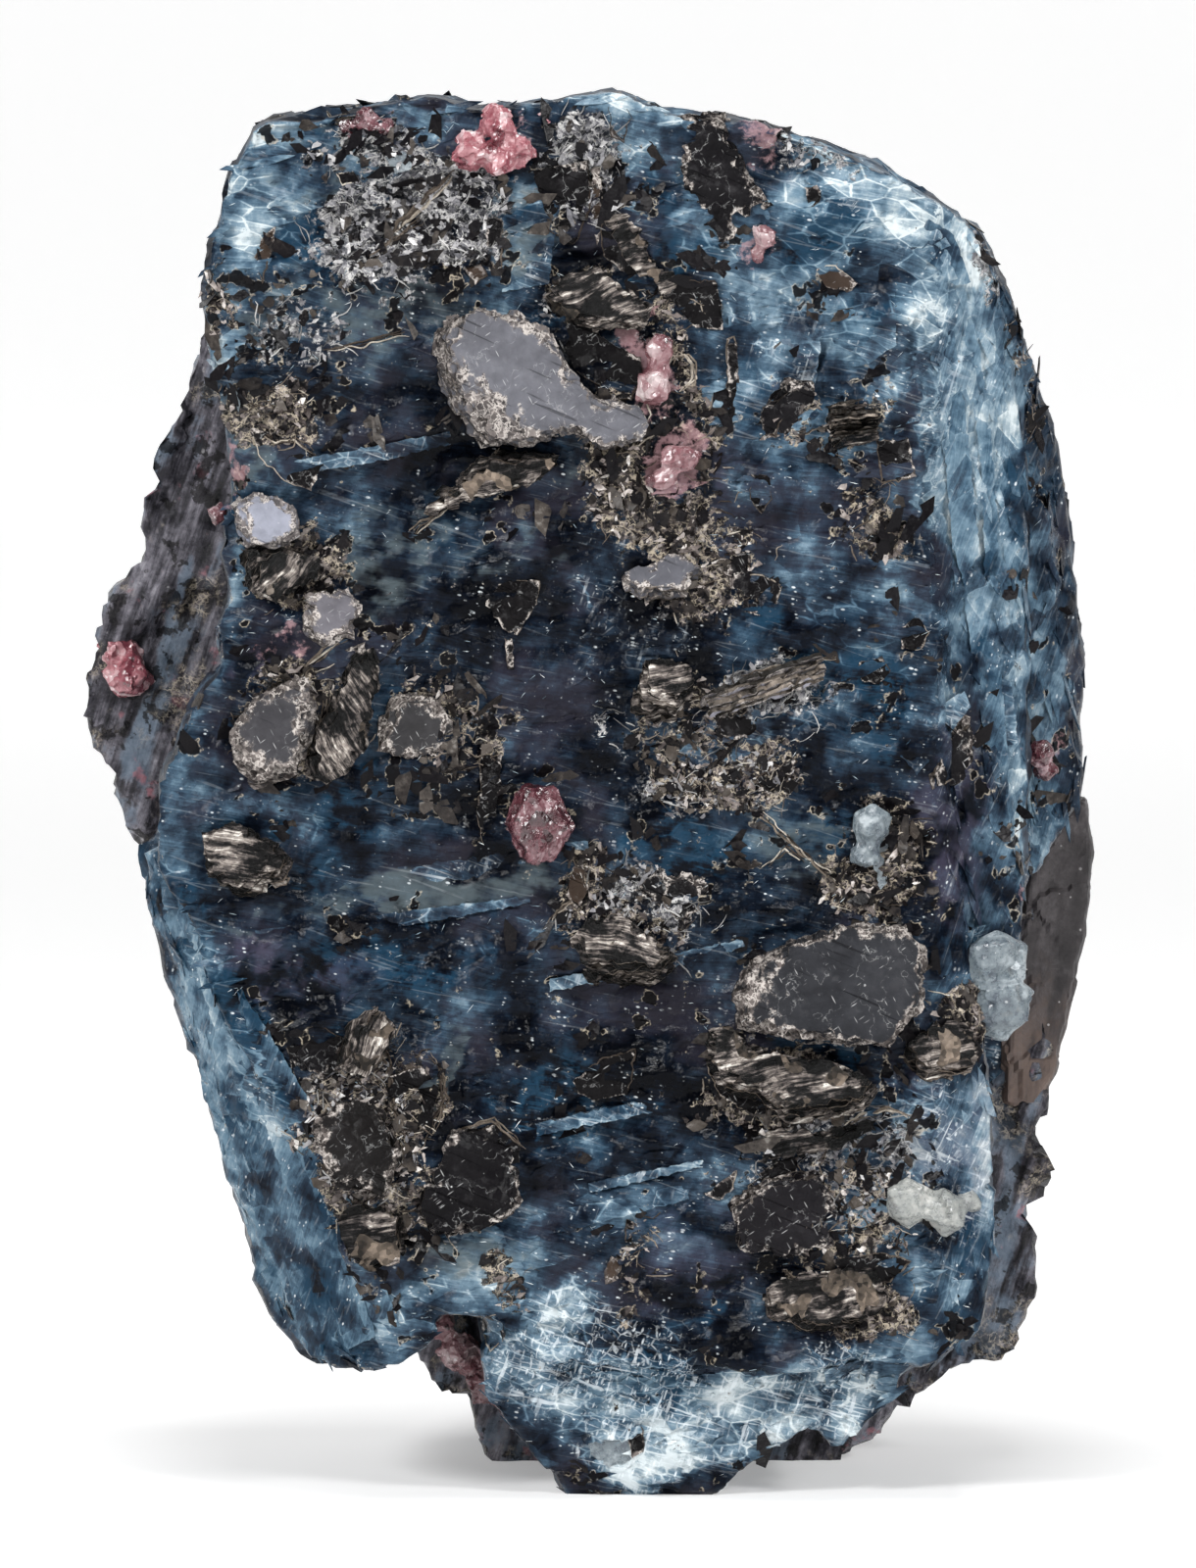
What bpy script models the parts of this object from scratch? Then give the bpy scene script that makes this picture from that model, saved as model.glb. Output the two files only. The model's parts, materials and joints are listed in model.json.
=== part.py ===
# A hand specimen of blue kyanite blades on dark mica schist, set with books of
# biotite mica, grains of almandine garnet and a little quartz.
# X runs to the viewer's right, Y away from the viewer and Z up. The origin is
# on the flat broken foot that the stone stands on.

import itertools
import math

import bmesh
import bpy
from mathutils import Euler, Vector, geometry, noise

# Driving dimensions. All sizes below are in millimetres.
MM = 0.001
HEIGHT = 40.0
FACE_DEPTH = -7.0
SEAM_DEPTH = 1.5
BACK_DEPTH = 9.0
GAP = 0.3

# The flat foot at Z = 0. The stone's underside is broken off level there.
FOOT_LEVEL = 0.0

# The two blocks are made this much past their seam, then cut back to it.
SEAM_OVERLAP = 1.5

# A distance well outside the stone, and the least share that a cut leaves of it.
FAR = 60.0
LEAST_KEPT_SHARE = 0.5

# How finely the rough blocks are made, and how many triangles each one keeps.
ROUGH_VOXEL = 0.45
KYANITE_TRIANGLES = 2300
SCHIST_TRIANGLES = 1200

# The flanks begin right of this line, and left of a slanting one.
RIGHT_FLANK_START = 8.0
LEFT_FLANK_START = 5.5
LEFT_FLANK_SLOPE = 0.4
FLANK_BLEND = 1.5

# The ledge round the top sheets of a mica book.
LEDGE_WIDTH = 0.12
LEDGE_RISE = 0.25
LEDGE_SLOPE = 0.03

# A pocket for a book or a grain clears it by the gap, and opens forwards by the
# reach. On a round grain the gap is measured at a face, so its corners grow more.
POCKET_REACH = 2.5
ROUND_GAP_SHARE = 1.4
SHARPEST_CORNER = 0.35

# The cleavage traces on the broad face rise to the right by this angle, and
# the fibres of the two flanks run steeply down to the right.
TRACE_ANGLE = math.radians(11)
FIBRE_ANGLE = math.radians(-72)

# Laths of the cleavage differ in level by these steps.
LATH_STEP = 0.16
FINE_LATH_STEP = 0.06

# Breaks and lumps of the surface: how far they stand out, and how wide they are.
KYANITE_BREAK = (0.35, 2.2)
KYANITE_GRAIN = (0.12, 0.9)
SCHIST_BREAK = (0.6, 2.6)
SCHIST_LUMP = (1.0, 3.4)
SCHIST_LAYER = (0.35, 0.8)
SCHIST_LAYER_LENGTH = 5.0
SCHIST_LAYER_DEPTH = 1.1

# No blade is thinner than this, and faces this much alike lie in one plane.
THINNEST_BLADE = 1.0
ONE_PLANE = 0.99

# Each blade is an outline seen from the front, as (x, z), and the depth of its
# face. Beyond the ridge, which is a line through the pivot, the face falls away in
# the given direction by the slope. taper is how much the back draws in to the pivot.
KYANITE_BLADES = {
    "broad_face": {
        "outline": [
            (-11.1, 37.8), (-10.4, 39.1), (-8.5, 39.4), (-5.4, 39.9), (-4.4, 39.5),
            (-2.2, 39.7), (-0.4, HEIGHT), (1.1, 39.5), (2.9, 39.5), (5.8, 38.6),
            (7.3, 37.9), (8.2, 37.1), (8.2, 28.6), (9.5, 17.6), (10.2, 12.1),
            (10.2, 8.0), (9.9, 5.5), (8.0, 4.0), (-2.2, 3.9), (-3.9, 5.4),
            (-5.8, 5.4), (-7.4, 5.8), (-8.2, 7.4), (-8.9, 9.6), (-10.2, 11.8),
            (-11.4, 13.5), (-12.1, 16.2), (-13.2, 18.1), (-13.1, 20.4), (-12.1, 22.7),
            (-11.4, 23.4), (-11.5, 24.8), (-11.1, 25.9), (-11.5, 27.1), (-11.0, 28.6),
            (-11.3, 30.8), (-11.7, 32.7), (-11.8, 34.4), (-11.5, 36.0),
        ],
        "depth": FACE_DEPTH,
        "pivot": (0.0, 20.0),
        "falls": (0.0, -1.0),
        "slope": 0.0,
    },
    "near_right_flank": {
        "outline": [
            (7.2, 37.8), (8.9, 36.9), (9.9, 36.0), (10.4, 34.1), (11.0, 30.8),
            (11.3, 25.9), (11.4, 20.4), (11.3, 17.5), (11.1, 15.9), (11.0, 14.6),
            (10.4, 13.3), (8.8, 13.2), (7.2, 23.1),
        ],
        "depth": FACE_DEPTH,
        "pivot": (8.2, 25.0),
        "falls": (1.0, 0.0),
        "slope": 0.6,
    },
    "far_right_flank": {
        "outline": [
            (8.8, 36.7), (10.2, 36.2), (10.6, 34.1), (11.1, 32.9), (11.8, 31.1),
            (12.4, 28.6), (12.7, 26.9), (12.8, 25.3), (13.0, 23.1), (13.0, 20.6),
            (12.8, 19.2), (11.6, 17.6), (9.9, 17.6),
        ],
        "depth": -4.9,
        "pivot": (11.2, 25.0),
        "falls": (1.0, 0.0),
        "slope": 1.9,
    },
    "left_low_flank": {
        "outline": [
            (-13.5, 18.1), (-13.4, 17.1), (-13.0, 14.8), (-12.2, 12.7), (-11.5, 10.4),
            (-10.9, 8.2), (-10.3, 6.0), (-9.6, 5.0), (-8.5, 3.4), (-7.0, 3.6),
            (-5.5, 4.7), (-5.4, 5.9), (-7.0, 6.3), (-7.8, 7.8), (-8.5, 10.0),
            (-9.8, 12.2), (-11.0, 13.9), (-11.7, 16.6), (-12.6, 18.4),
        ],
        "depth": -6.8,
        "pivot": (-12.1, 16.8),
        "falls": (-0.93, -0.37),
        "slope": 1.3,
    },
    "stepped_end": {
        "outline": [
            (-3.9, 6.0), (8.2, 6.0), (7.8, 3.9), (7.5, 2.8), (6.6, 2.0), (6.2, 1.4),
            (5.7, 1.4), (5.4, 2.1), (4.4, 1.6), (3.6, 1.0), (3.2, -2.0), (-2.4, -2.0),
            (-2.5, 1.0), (-2.6, 2.5), (-3.5, 2.9), (-3.9, 4.1),
        ],
        "depth": -6.7,
        "pivot": (0.0, 6.0),
        "falls": (0.0, -1.0),
        "slope": 0.28,
    },
}

SCHIST_BLADES = {
    "back_mass": {
        "outline": [
            (-12.1, 32.7), (-12.8, 30.2), (-13.5, 28.6), (-13.9, 26.9), (-14.5, 25.3),
            (-14.9, 24.2), (-15.1, 22.9), (-14.8, 21.3), (-14.5, 20.4), (-13.8, 18.7),
            (-13.2, 17.6), (-12.2, 13.5), (-11.0, 9.3), (-9.3, 5.5), (-6.0, 4.1),
            (-4.9, 1.9), (-4.1, 0.7), (-3.8, -0.9), (6.2, -0.9), (6.4, 1.4),
            (7.8, 2.8), (10.0, 3.7), (11.2, 5.5), (11.4, 8.2), (11.6, 9.9),
            (11.7, 12.1), (11.7, 19.0), (11.0, 28.6), (9.9, 34.1), (7.2, 36.9),
            (-3.9, 38.8), (-10.4, 37.4),
        ],
        "depth": SEAM_DEPTH - SEAM_OVERLAP,
        "pivot": (0.0, 8.0),
        "falls": (0.0, -1.0),
        "slope": 0.0,
        "taper": 0.18,
    },
}

# Swells and hollows of the broad face, as (x, z, half width, half height,
# how far it stands out).
SWELLS = [
    (-5.0, 33.5, 5.0, 3.5, 0.35),
    (-6.0, 28.6, 4.5, 2.6, -0.55),
    (4.6, 32.8, 3.4, 3.0, -0.45),
    (-1.5, 31.6, 3.2, 2.6, 0.45),
    (-9.0, 23.0, 3.0, 3.4, 0.40),
    (-6.8, 17.6, 5.0, 1.4, -0.35),
    (-6.0, 9.8, 3.6, 3.4, 0.50),
    (-0.8, 10.4, 2.6, 2.8, -0.55),
    (5.8, 14.2, 3.4, 2.2, 0.60),
    (6.0, 8.4, 3.4, 3.0, 0.35),
    (0.6, 21.4, 3.4, 2.0, -0.35),
    (5.4, 18.6, 3.0, 1.4, 0.25),
]

# Books of mica. Each has the outline of its cleavage face seen from the front,
# how far that face stands out of the broad face, its thickness, and the way it
# looks: turned to the right and tipped upwards, in degrees.
MICA_BOOKS = {
    "upper_grey": {
        "outline": [
            (-5.0, 32.9), (-4.8, 33.3), (-4.1, 33.6), (-3.0, 33.5), (-2.2, 33.1),
            (-1.9, 32.5), (-1.4, 31.7), (-0.9, 31.2), (0.3, 31.0), (0.6, 30.6),
            (0.4, 30.1), (-0.6, 29.9), (-1.4, 30.4), (-2.6, 30.1), (-3.7, 30.1),
            (-4.4, 30.9), (-4.9, 31.9),
        ],
        "stands_out": 1.3, "thick": 2.3, "turned": 12, "tipped": 4,
    },
    "upper_flap": {
        "outline": [
            (-3.7, 29.5), (-2.0, 29.5), (-2.2, 29.2), (-3.0, 28.7), (-3.9, 28.5),
            (-5.1, 28.1), (-5.7, 27.9), (-4.7, 28.7), (-4.1, 29.3),
        ],
        "stands_out": 0.45, "thick": 1.0, "turned": -6, "tipped": -8,
    },
    "upper_core": {
        "outline": [
            (-1.4, 32.8), (-0.8, 32.8), (0.2, 32.7), (0.4, 32.0), (0.1, 31.5),
            (-0.6, 31.6), (-1.0, 32.0), (-1.5, 32.6),
        ],
        "stands_out": -0.15, "thick": 1.2, "turned": 0, "tipped": 5,
    },
    "upper_bronze": {
        "outline": [
            (-2.2, 34.1), (-1.6, 34.6), (-0.8, 34.8), (0.0, 34.2), (0.7, 33.8),
            (0.4, 33.3), (-0.4, 33.3), (-1.5, 33.4),
        ],
        "stands_out": 0.7, "thick": 1.3, "turned": 6, "tipped": 10,
    },
    "tall_black": {
        "outline": [
            (1.4, 39.0), (2.6, 39.1), (2.8, 38.4), (3.4, 37.3), (4.0, 36.6),
            (3.5, 36.4), (3.0, 36.2), (2.9, 35.4), (2.6, 35.4), (2.0, 36.2),
            (1.6, 37.0), (1.5, 37.8),
        ],
        "stands_out": 0.15, "thick": 1.6, "turned": -6, "tipped": 4,
    },
    "top_band": {
        "outline": [
            (-0.6, 36.1), (0.0, 36.2), (0.4, 35.8), (0.9, 34.7), (1.6, 34.5),
            (2.6, 34.6), (2.6, 34.2), (2.0, 34.1), (1.6, 33.8), (0.9, 34.2),
            (0.2, 34.8),
        ],
        "stands_out": 0.1, "thick": 1.2, "turned": 8, "tipped": -6,
    },
    "right_pair": {
        "outline": [
            (3.7, 30.0), (3.8, 30.9), (4.3, 31.4), (4.4, 31.7), (5.2, 31.6),
            (5.2, 31.0), (4.5, 30.2),
        ],
        "stands_out": 0.05, "thick": 1.2, "turned": 10, "tipped": -8,
    },
    "right_ribbed": {
        "outline": [(5.8, 30.6), (7.0, 30.7), (7.1, 31.3), (7.8, 31.2), (8.0, 30.4), (5.9, 30.2)],
        "stands_out": 0.4, "thick": 1.2, "turned": 6, "tipped": 26,
    },
    "left_tile": {
        "outline": [
            (-10.9, 28.2), (-10.4, 28.5), (-9.8, 28.5), (-9.3, 28.1), (-9.3, 27.5),
            (-9.8, 27.2), (-10.5, 27.2), (-10.8, 27.6),
        ],
        "stands_out": 1.0, "thick": 1.5, "turned": 4, "tipped": 6,
    },
    "left_curl": {
        "outline": [
            (-10.6, 26.9), (-9.3, 26.9), (-8.6, 26.7), (-8.5, 26.2), (-9.3, 25.9),
            (-9.8, 25.5), (-10.4, 25.9),
        ],
        "stands_out": 0.7, "thick": 1.2, "turned": 8, "tipped": -4,
    },
    "left_nub": {
        "outline": [(-8.9, 25.6), (-7.8, 25.9), (-7.5, 25.4), (-7.7, 24.6), (-8.5, 24.3), (-9.0, 24.8)],
        "stands_out": 0.6, "thick": 1.2, "turned": 12, "tipped": 16,
    },
    "left_blade_a": {
        "outline": [
            (-11.0, 21.9), (-10.4, 22.8), (-9.3, 23.4), (-8.8, 23.3), (-8.9, 22.1),
            (-9.3, 20.9), (-10.4, 20.6), (-10.9, 21.2),
        ],
        "stands_out": 1.1, "thick": 1.7, "turned": 0, "tipped": 10,
    },
    "left_blade_b": {
        "outline": [
            (-8.9, 20.6), (-8.6, 21.9), (-8.1, 23.1), (-7.5, 24.0), (-7.1, 24.2),
            (-7.0, 23.1), (-7.4, 21.4), (-7.8, 20.8), (-8.4, 20.5),
        ],
        "stands_out": 0.8, "thick": 1.4, "turned": 6, "tipped": 0,
    },
    "left_blade_c": {
        "outline": [
            (-6.9, 21.3), (-6.6, 22.4), (-6.3, 22.7), (-5.5, 22.7), (-4.9, 22.1),
            (-5.1, 21.3), (-6.0, 21.0),
        ],
        "stands_out": 0.35, "thick": 1.2, "turned": 14, "tipped": -6,
    },
    "centre_fringe": {
        "outline": [(0.0, 26.3), (1.4, 26.9), (2.0, 26.5), (1.6, 25.9), (0.4, 25.8)],
        "stands_out": 0.5, "thick": 1.2, "turned": 0, "tipped": 20,
    },
    "centre_ribbed": {
        "outline": [(0.4, 22.9), (0.6, 23.9), (1.4, 24.0), (1.8, 23.6), (1.8, 23.0), (1.4, 22.6)],
        "stands_out": 0.6, "thick": 1.2, "turned": 10, "tipped": 24,
    },
    "centre_slats": {
        "outline": [
            (2.1, 22.8), (2.6, 23.1), (3.4, 23.3), (4.4, 23.6), (5.4, 24.0),
            (5.8, 23.8), (5.6, 23.4), (4.4, 23.0), (3.6, 22.8), (2.8, 22.5),
        ],
        "stands_out": 0.6, "thick": 1.2, "turned": 0, "tipped": 30,
    },
    "centre_black": {
        "outline": [
            (2.8, 26.4), (3.6, 26.6), (4.1, 26.5), (4.1, 25.7), (3.7, 25.1),
            (3.0, 25.2), (2.8, 25.9),
        ],
        "stands_out": -0.1, "thick": 1.1, "turned": 6, "tipped": 8,
    },
    "right_leaf": {
        "outline": [
            (8.5, 20.6), (8.9, 21.4), (9.6, 22.1), (9.8, 21.9), (9.7, 21.0),
            (9.3, 20.4), (8.7, 20.3),
        ],
        "stands_out": -0.2, "thick": 1.0, "turned": 26, "tipped": 0,
    },
    "left_edge_plates": {
        "outline": [
            (-11.9, 19.0), (-11.1, 19.4), (-10.4, 19.0), (-9.6, 18.4), (-9.8, 17.9),
            (-11.0, 17.5), (-11.7, 18.0),
        ],
        "stands_out": 0.5, "thick": 1.2, "turned": -8, "tipped": 18,
    },
    "lower_silver": {
        "outline": [
            (-1.6, 16.1), (-1.1, 16.6), (0.0, 16.6), (0.7, 16.1), (1.2, 15.8),
            (0.6, 15.3), (-1.1, 15.3),
        ],
        "stands_out": 0.9, "thick": 1.6, "turned": -6, "tipped": 22,
    },
    "lower_black": {
        "outline": [(0.1, 17.4), (0.9, 18.0), (2.3, 17.7), (2.4, 16.8), (1.6, 16.4), (1.0, 16.7)],
        "stands_out": 0.1, "thick": 1.2, "turned": 4, "tipped": 16,
    },
    "great_plate": {
        "outline": [
            (3.2, 14.4), (3.6, 15.3), (4.4, 15.8), (6.0, 16.3), (7.8, 16.4),
            (8.4, 15.7), (8.2, 14.2), (7.4, 13.2), (6.1, 13.2), (4.4, 13.5),
            (3.4, 13.8),
        ],
        "stands_out": 1.1, "thick": 2.2, "turned": 8, "tipped": 6,
    },
    "book_under_plate": {
        "outline": [
            (2.3, 13.5), (2.8, 13.6), (3.3, 13.1), (4.2, 12.8), (5.8, 12.6),
            (6.8, 12.1), (6.5, 11.6), (4.4, 11.4), (3.6, 12.0), (2.6, 12.2),
            (2.3, 12.9),
        ],
        "stands_out": 1.2, "thick": 1.6, "turned": -4, "tipped": 18,
    },
    "plate_edges": {
        "outline": [(7.9, 12.9), (8.7, 13.7), (9.5, 13.6), (9.9, 13.1), (9.7, 12.5), (8.5, 12.4)],
        "stands_out": 0.5, "thick": 1.4, "turned": 10, "tipped": 24,
    },
    "cluster_black_a": {
        "outline": [(-9.5, 12.8), (-8.9, 13.5), (-8.2, 13.4), (-8.2, 12.8), (-8.5, 12.0), (-9.0, 12.1)],
        "stands_out": 0.1, "thick": 1.1, "turned": 6, "tipped": 6,
    },
    "cluster_curl": {
        "outline": [(-7.8, 12.5), (-7.6, 13.6), (-6.9, 14.0), (-6.5, 13.5), (-6.9, 12.6), (-7.3, 12.2)],
        "stands_out": 0.9, "thick": 1.6, "turned": 14, "tipped": 0,
    },
    "cluster_black_b": {
        "outline": [(-6.6, 11.6), (-6.3, 12.3), (-5.5, 12.3), (-5.3, 11.9), (-5.5, 11.2), (-6.0, 11.2)],
        "stands_out": 0.2, "thick": 1.1, "turned": 0, "tipped": 10,
    },
    "cluster_grey": {
        "outline": [
            (-8.9, 11.1), (-7.4, 11.5), (-6.8, 11.0), (-6.4, 9.9), (-6.9, 8.9),
            (-8.2, 9.1), (-8.7, 10.2),
        ],
        "stands_out": 0.7, "thick": 1.6, "turned": -8, "tipped": 8,
    },
    "cluster_great_black": {
        "outline": [
            (-5.6, 9.3), (-5.0, 10.6), (-3.9, 10.8), (-3.2, 10.2), (-3.0, 8.5),
            (-4.1, 7.8), (-5.4, 7.8), (-5.8, 8.4),
        ],
        "stands_out": 0.5, "thick": 1.8, "turned": 6, "tipped": 6,
    },
    "cluster_brown": {
        "outline": [(-8.1, 8.2), (-7.6, 8.5), (-6.5, 8.2), (-6.5, 7.0), (-7.3, 6.8), (-7.8, 7.1)],
        "stands_out": 0.55, "thick": 1.3, "turned": -9, "tipped": 7,
    },
    "low_band": {
        "outline": [
            (2.9, 10.3), (4.1, 10.6), (6.0, 10.7), (7.0, 10.9), (7.1, 10.5),
            (6.0, 10.1), (3.9, 9.7), (3.0, 9.7),
        ],
        "stands_out": 0.3, "thick": 1.1, "turned": 0, "tipped": -6,
    },
    "low_plates": {
        "outline": [
            (3.0, 8.4), (3.9, 9.2), (5.4, 9.3), (5.9, 8.5), (5.8, 7.4), (4.4, 7.1),
            (3.2, 7.3),
        ],
        "stands_out": 0.6, "thick": 1.4, "turned": 4, "tipped": -4,
    },
    "low_bronze": {
        "outline": [
            (4.0, 6.2), (5.2, 6.6), (6.9, 6.7), (7.3, 5.9), (6.6, 5.3), (5.1, 5.2),
            (4.1, 5.6),
        ],
        "stands_out": 0.5, "thick": 1.4, "turned": 6, "tipped": 18,
    },
    "slab_right": {
        "outline": [
            (10.2, 10.0), (11.0, 9.5), (11.9, 10.9), (12.3, 12.7), (12.8, 15.1),
            (13.0, 17.6), (12.7, 19.3), (12.0, 18.8), (11.0, 17.3), (10.4, 14.0),
        ],
        "stands_out": -9.0, "thick": 4.0, "turned": 8, "tipped": 0,
    },
}

# Grains of almandine garnet. Each node is one or more grown-together grains,
# as (x, y, z, radius).
GARNETS = {
    "top_cluster": [
        (-4.4, -7.0, 38.1, 0.75), (-3.6, -6.9, 38.8, 0.80), (-3.0, -7.0, 38.2, 0.70),
        (-2.4, -6.8, 38.8, 0.62), (-3.6, -7.1, 37.8, 0.55),
    ],
    "top_left": [(-7.9, -6.6, 38.7, 0.42), (-7.3, -6.7, 38.9, 0.50), (-6.7, -6.7, 38.7, 0.46)],
    "top_right": [(3.9, -7.0, 35.7, 0.50), (3.6, -6.9, 35.2, 0.38)],
    "vein": [(1.1, -7.2, 31.6, 0.45), (1.2, -7.1, 32.2, 0.38)],
    "vein_low": [(1.4, -7.2, 29.4, 0.46), (1.1, -7.1, 28.9, 0.36)],
    "crystal": [(-2.5, -7.1, 19.1, 1.12)],
    "left_tip": [(-14.3, 2.9, 23.6, 0.75), (-14.1, 2.6, 22.9, 0.78), (-13.9, 3.2, 24.2, 0.60)],
    "left_rim": [(-11.5, -6.2, 27.9, 0.42)],
    "right_rim": [(11.7, -3.4, 21.0, 0.50), (11.9, -3.0, 20.5, 0.46)],
    "under_seam": [
        (-5.3, 1.9, 4.0, 0.60), (-4.7, 1.8, 3.2, 0.72), (-4.0, 1.8, 2.4, 0.80),
        (-3.4, 1.9, 1.7, 0.60),
    ],
    "low_right": [(9.6, 1.9, 4.4, 0.52), (9.9, 1.8, 4.9, 0.40)],
    "left_low": [(-13.5, 2.6, 19.6, 0.62)],
}

# Lumps of pale quartz, written in the same way.
PALE_LUMPS = {
    "low_lump": [(7.9, -7.3, 8.6, 0.85), (8.9, -7.2, 8.3, 0.80), (9.6, -6.8, 8.6, 0.60)],
    "patch": [(6.9, -7.2, 19.2, 0.70), (6.7, -7.2, 18.4, 0.52)],
    "right_chip": [(10.3, -6.4, 15.2, 0.90), (10.4, -6.5, 14.2, 0.80)],
}

# Colour and roughness of each kind of mineral.
FINISHES = {
    "kyanite": ((0.09, 0.13, 0.19), 0.35),
    "schist": ((0.06, 0.055, 0.06), 0.60),
    "mica": ((0.12, 0.115, 0.125), 0.25),
    "garnet": ((0.24, 0.08, 0.10), 0.20),
    "quartz": ((0.42, 0.42, 0.41), 0.30),
}


# Meshes and objects

def new_collection(name):
    made = bpy.data.collections.new(name)
    bpy.context.scene.collection.children.link(made)
    return made


def add_object(name, mesh, where):
    obj = bpy.data.objects.new(name, mesh)
    where.objects.link(obj)
    return obj


def evaluated_mesh(obj):
    graph = bpy.context.evaluated_depsgraph_get()
    return bpy.data.meshes.new_from_object(obj.evaluated_get(graph))


def take_in_modifiers(obj):
    mesh = evaluated_mesh(obj)
    obj.modifiers.clear()
    obj.data = mesh


def is_sound(mesh, least_volume):
    bm = bmesh.new()
    bm.from_mesh(mesh)
    closed = all(edge.is_manifold for edge in bm.edges)
    volume = bm.calc_volume(signed=True)
    bm.free()
    return closed and volume > least_volume


def volume_of(mesh):
    bm = bmesh.new()
    bm.from_mesh(mesh)
    volume = bm.calc_volume(signed=True)
    bm.free()
    return volume


def boolean(block, operation, others):
    # A step that grazes a face can fail. It is then made again in the slower way,
    # which allows for faces that cross.
    for other in others:
        whole = block.data
        least_volume = volume_of(whole) * LEAST_KEPT_SHARE
        for with_crossings in (False, True):
            block.data = whole
            step = block.modifiers.new(other.name, "BOOLEAN")
            step.operation = operation
            step.solver = "EXACT"
            step.use_self = with_crossings
            step.object = other
            take_in_modifiers(block)
            if is_sound(block.data, least_volume):
                break


def keep_largest_body(obj):
    # Drops the loose chips that a cut can leave.
    bm = bmesh.new()
    bm.from_mesh(obj.data)
    unseen = set(bm.verts)
    bodies = []
    while unseen:
        body = [unseen.pop()]
        for vert in body:
            for edge in vert.link_edges:
                other = edge.other_vert(vert)
                if other in unseen:
                    unseen.remove(other)
                    body.append(other)
        bodies.append(body)
    bodies.sort(key=len)
    chips = [vert for body in bodies[:-1] for vert in body]
    bmesh.ops.delete(bm, geom=chips, context="VERTS")
    bm.to_mesh(obj.data)
    bm.free()


def outline_prism(name, outline, place, where):
    # A flat outline with a thickness. place(x, z, front) says where each corner of
    # its front and its back goes.
    curve = bpy.data.curves.new(name, "CURVE")
    curve.dimensions = "2D"
    curve.fill_mode = "BOTH"
    curve.extrude = MM
    spline = curve.splines.new("POLY")
    spline.points.add(len(outline) - 1)
    for point, (x, z) in zip(spline.points, outline):
        point.co = (x * MM, z * MM, 0, 1)
    spline.use_cyclic_u = True
    sketch = add_object(name, curve, where)
    mesh = evaluated_mesh(sketch)
    bpy.data.objects.remove(sketch)
    bm = bmesh.new()
    bm.from_mesh(mesh)
    bmesh.ops.remove_doubles(bm, verts=bm.verts, dist=1e-6)
    for vert in bm.verts:
        vert.co = place(vert.co.x / MM, vert.co.y / MM, vert.co.z > 0) * MM
    bmesh.ops.recalc_face_normals(bm, faces=bm.faces)
    if bm.calc_volume(signed=True) < 0:
        bmesh.ops.reverse_faces(bm, faces=bm.faces)
    bm.to_mesh(mesh)
    bm.free()
    return mesh


def box(name, low, high, where):
    bm = bmesh.new()
    bmesh.ops.create_cube(bm, size=1.0)
    for vert in bm.verts:
        share = vert.co + Vector((0.5, 0.5, 0.5))
        vert.co = Vector(a + (b - a) * s for a, b, s in zip(low, high, share)) * MM
    mesh = bpy.data.meshes.new(name)
    bm.to_mesh(mesh)
    bm.free()
    return add_object(name, mesh, where)


# The two rough blocks

def blade_mesh(name, blade, back_depth, where):
    pivot_x, pivot_z = blade["pivot"]
    falls_x, falls_z = blade["falls"]
    taper = blade.get("taper", 0.0)

    def place(x, z, front):
        if front:
            beyond = falls_x * (x - pivot_x) + falls_z * (z - pivot_z)
            depth = blade["depth"] + blade["slope"] * max(0.0, beyond)
            return Vector((x, min(depth, back_depth - THINNEST_BLADE), z))
        narrowed = x - taper * (x - pivot_x)
        lowered = z - taper * max(0.0, z - pivot_z)
        return Vector((narrowed, back_depth, lowered))

    return outline_prism(name, blade["outline"], place, where)


def rough_block(name, blades, back_depth, where):
    # The blades of one mass grown together, on an even fine grid.
    bm = bmesh.new()
    for blade_name, blade in blades.items():
        bm.from_mesh(blade_mesh(blade_name, blade, back_depth, where))
    mesh = bpy.data.meshes.new(name)
    bm.to_mesh(mesh)
    bm.free()
    block = add_object(name, mesh, where)
    remesh = block.modifiers.new("grown_together", "REMESH")
    remesh.mode = "VOXEL"
    remesh.voxel_size = ROUGH_VOXEL * MM
    take_in_modifiers(block)
    return block


def along(x, z, angle):
    # How far a point lies along and across a direction on the face.
    return (
        x * math.cos(angle) + z * math.sin(angle),
        z * math.cos(angle) - x * math.sin(angle),
    )


def swell(x, z):
    total = 0.0
    for centre_x, centre_z, half_width, half_height, height in SWELLS:
        far = math.hypot((x - centre_x) / half_width, (z - centre_z) / half_height)
        if far < 1:
            total += height * (1 - far * far) ** 2
    return total


def lath_steps(x, z, angle, seed):
    # Long flat laths, each at its own level, that run along the given direction.
    run, across = along(x, z, angle)
    broad = noise.noise(Vector((run / 8.0, across / 1.5, seed)))
    narrow = noise.noise(Vector((run / 4.0, across / 0.7, seed)))
    return LATH_STEP * round(broad * 4) + FINE_LATH_STEP * round(narrow * 3)


def broken_facets(point, size, seed):
    # Each cell of the pattern is a small flat break with its own tilt.
    place = point / size + Vector((seed, 0.7 * seed, 1.3 * seed))
    centre = noise.voronoi(place)[1][0]
    away = place - centre
    tilt_x = noise.cell(centre * 7.3)
    tilt_z = noise.cell(centre * 5.1)
    return tilt_x * (away.x + away.y) + tilt_z * away.z


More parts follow.
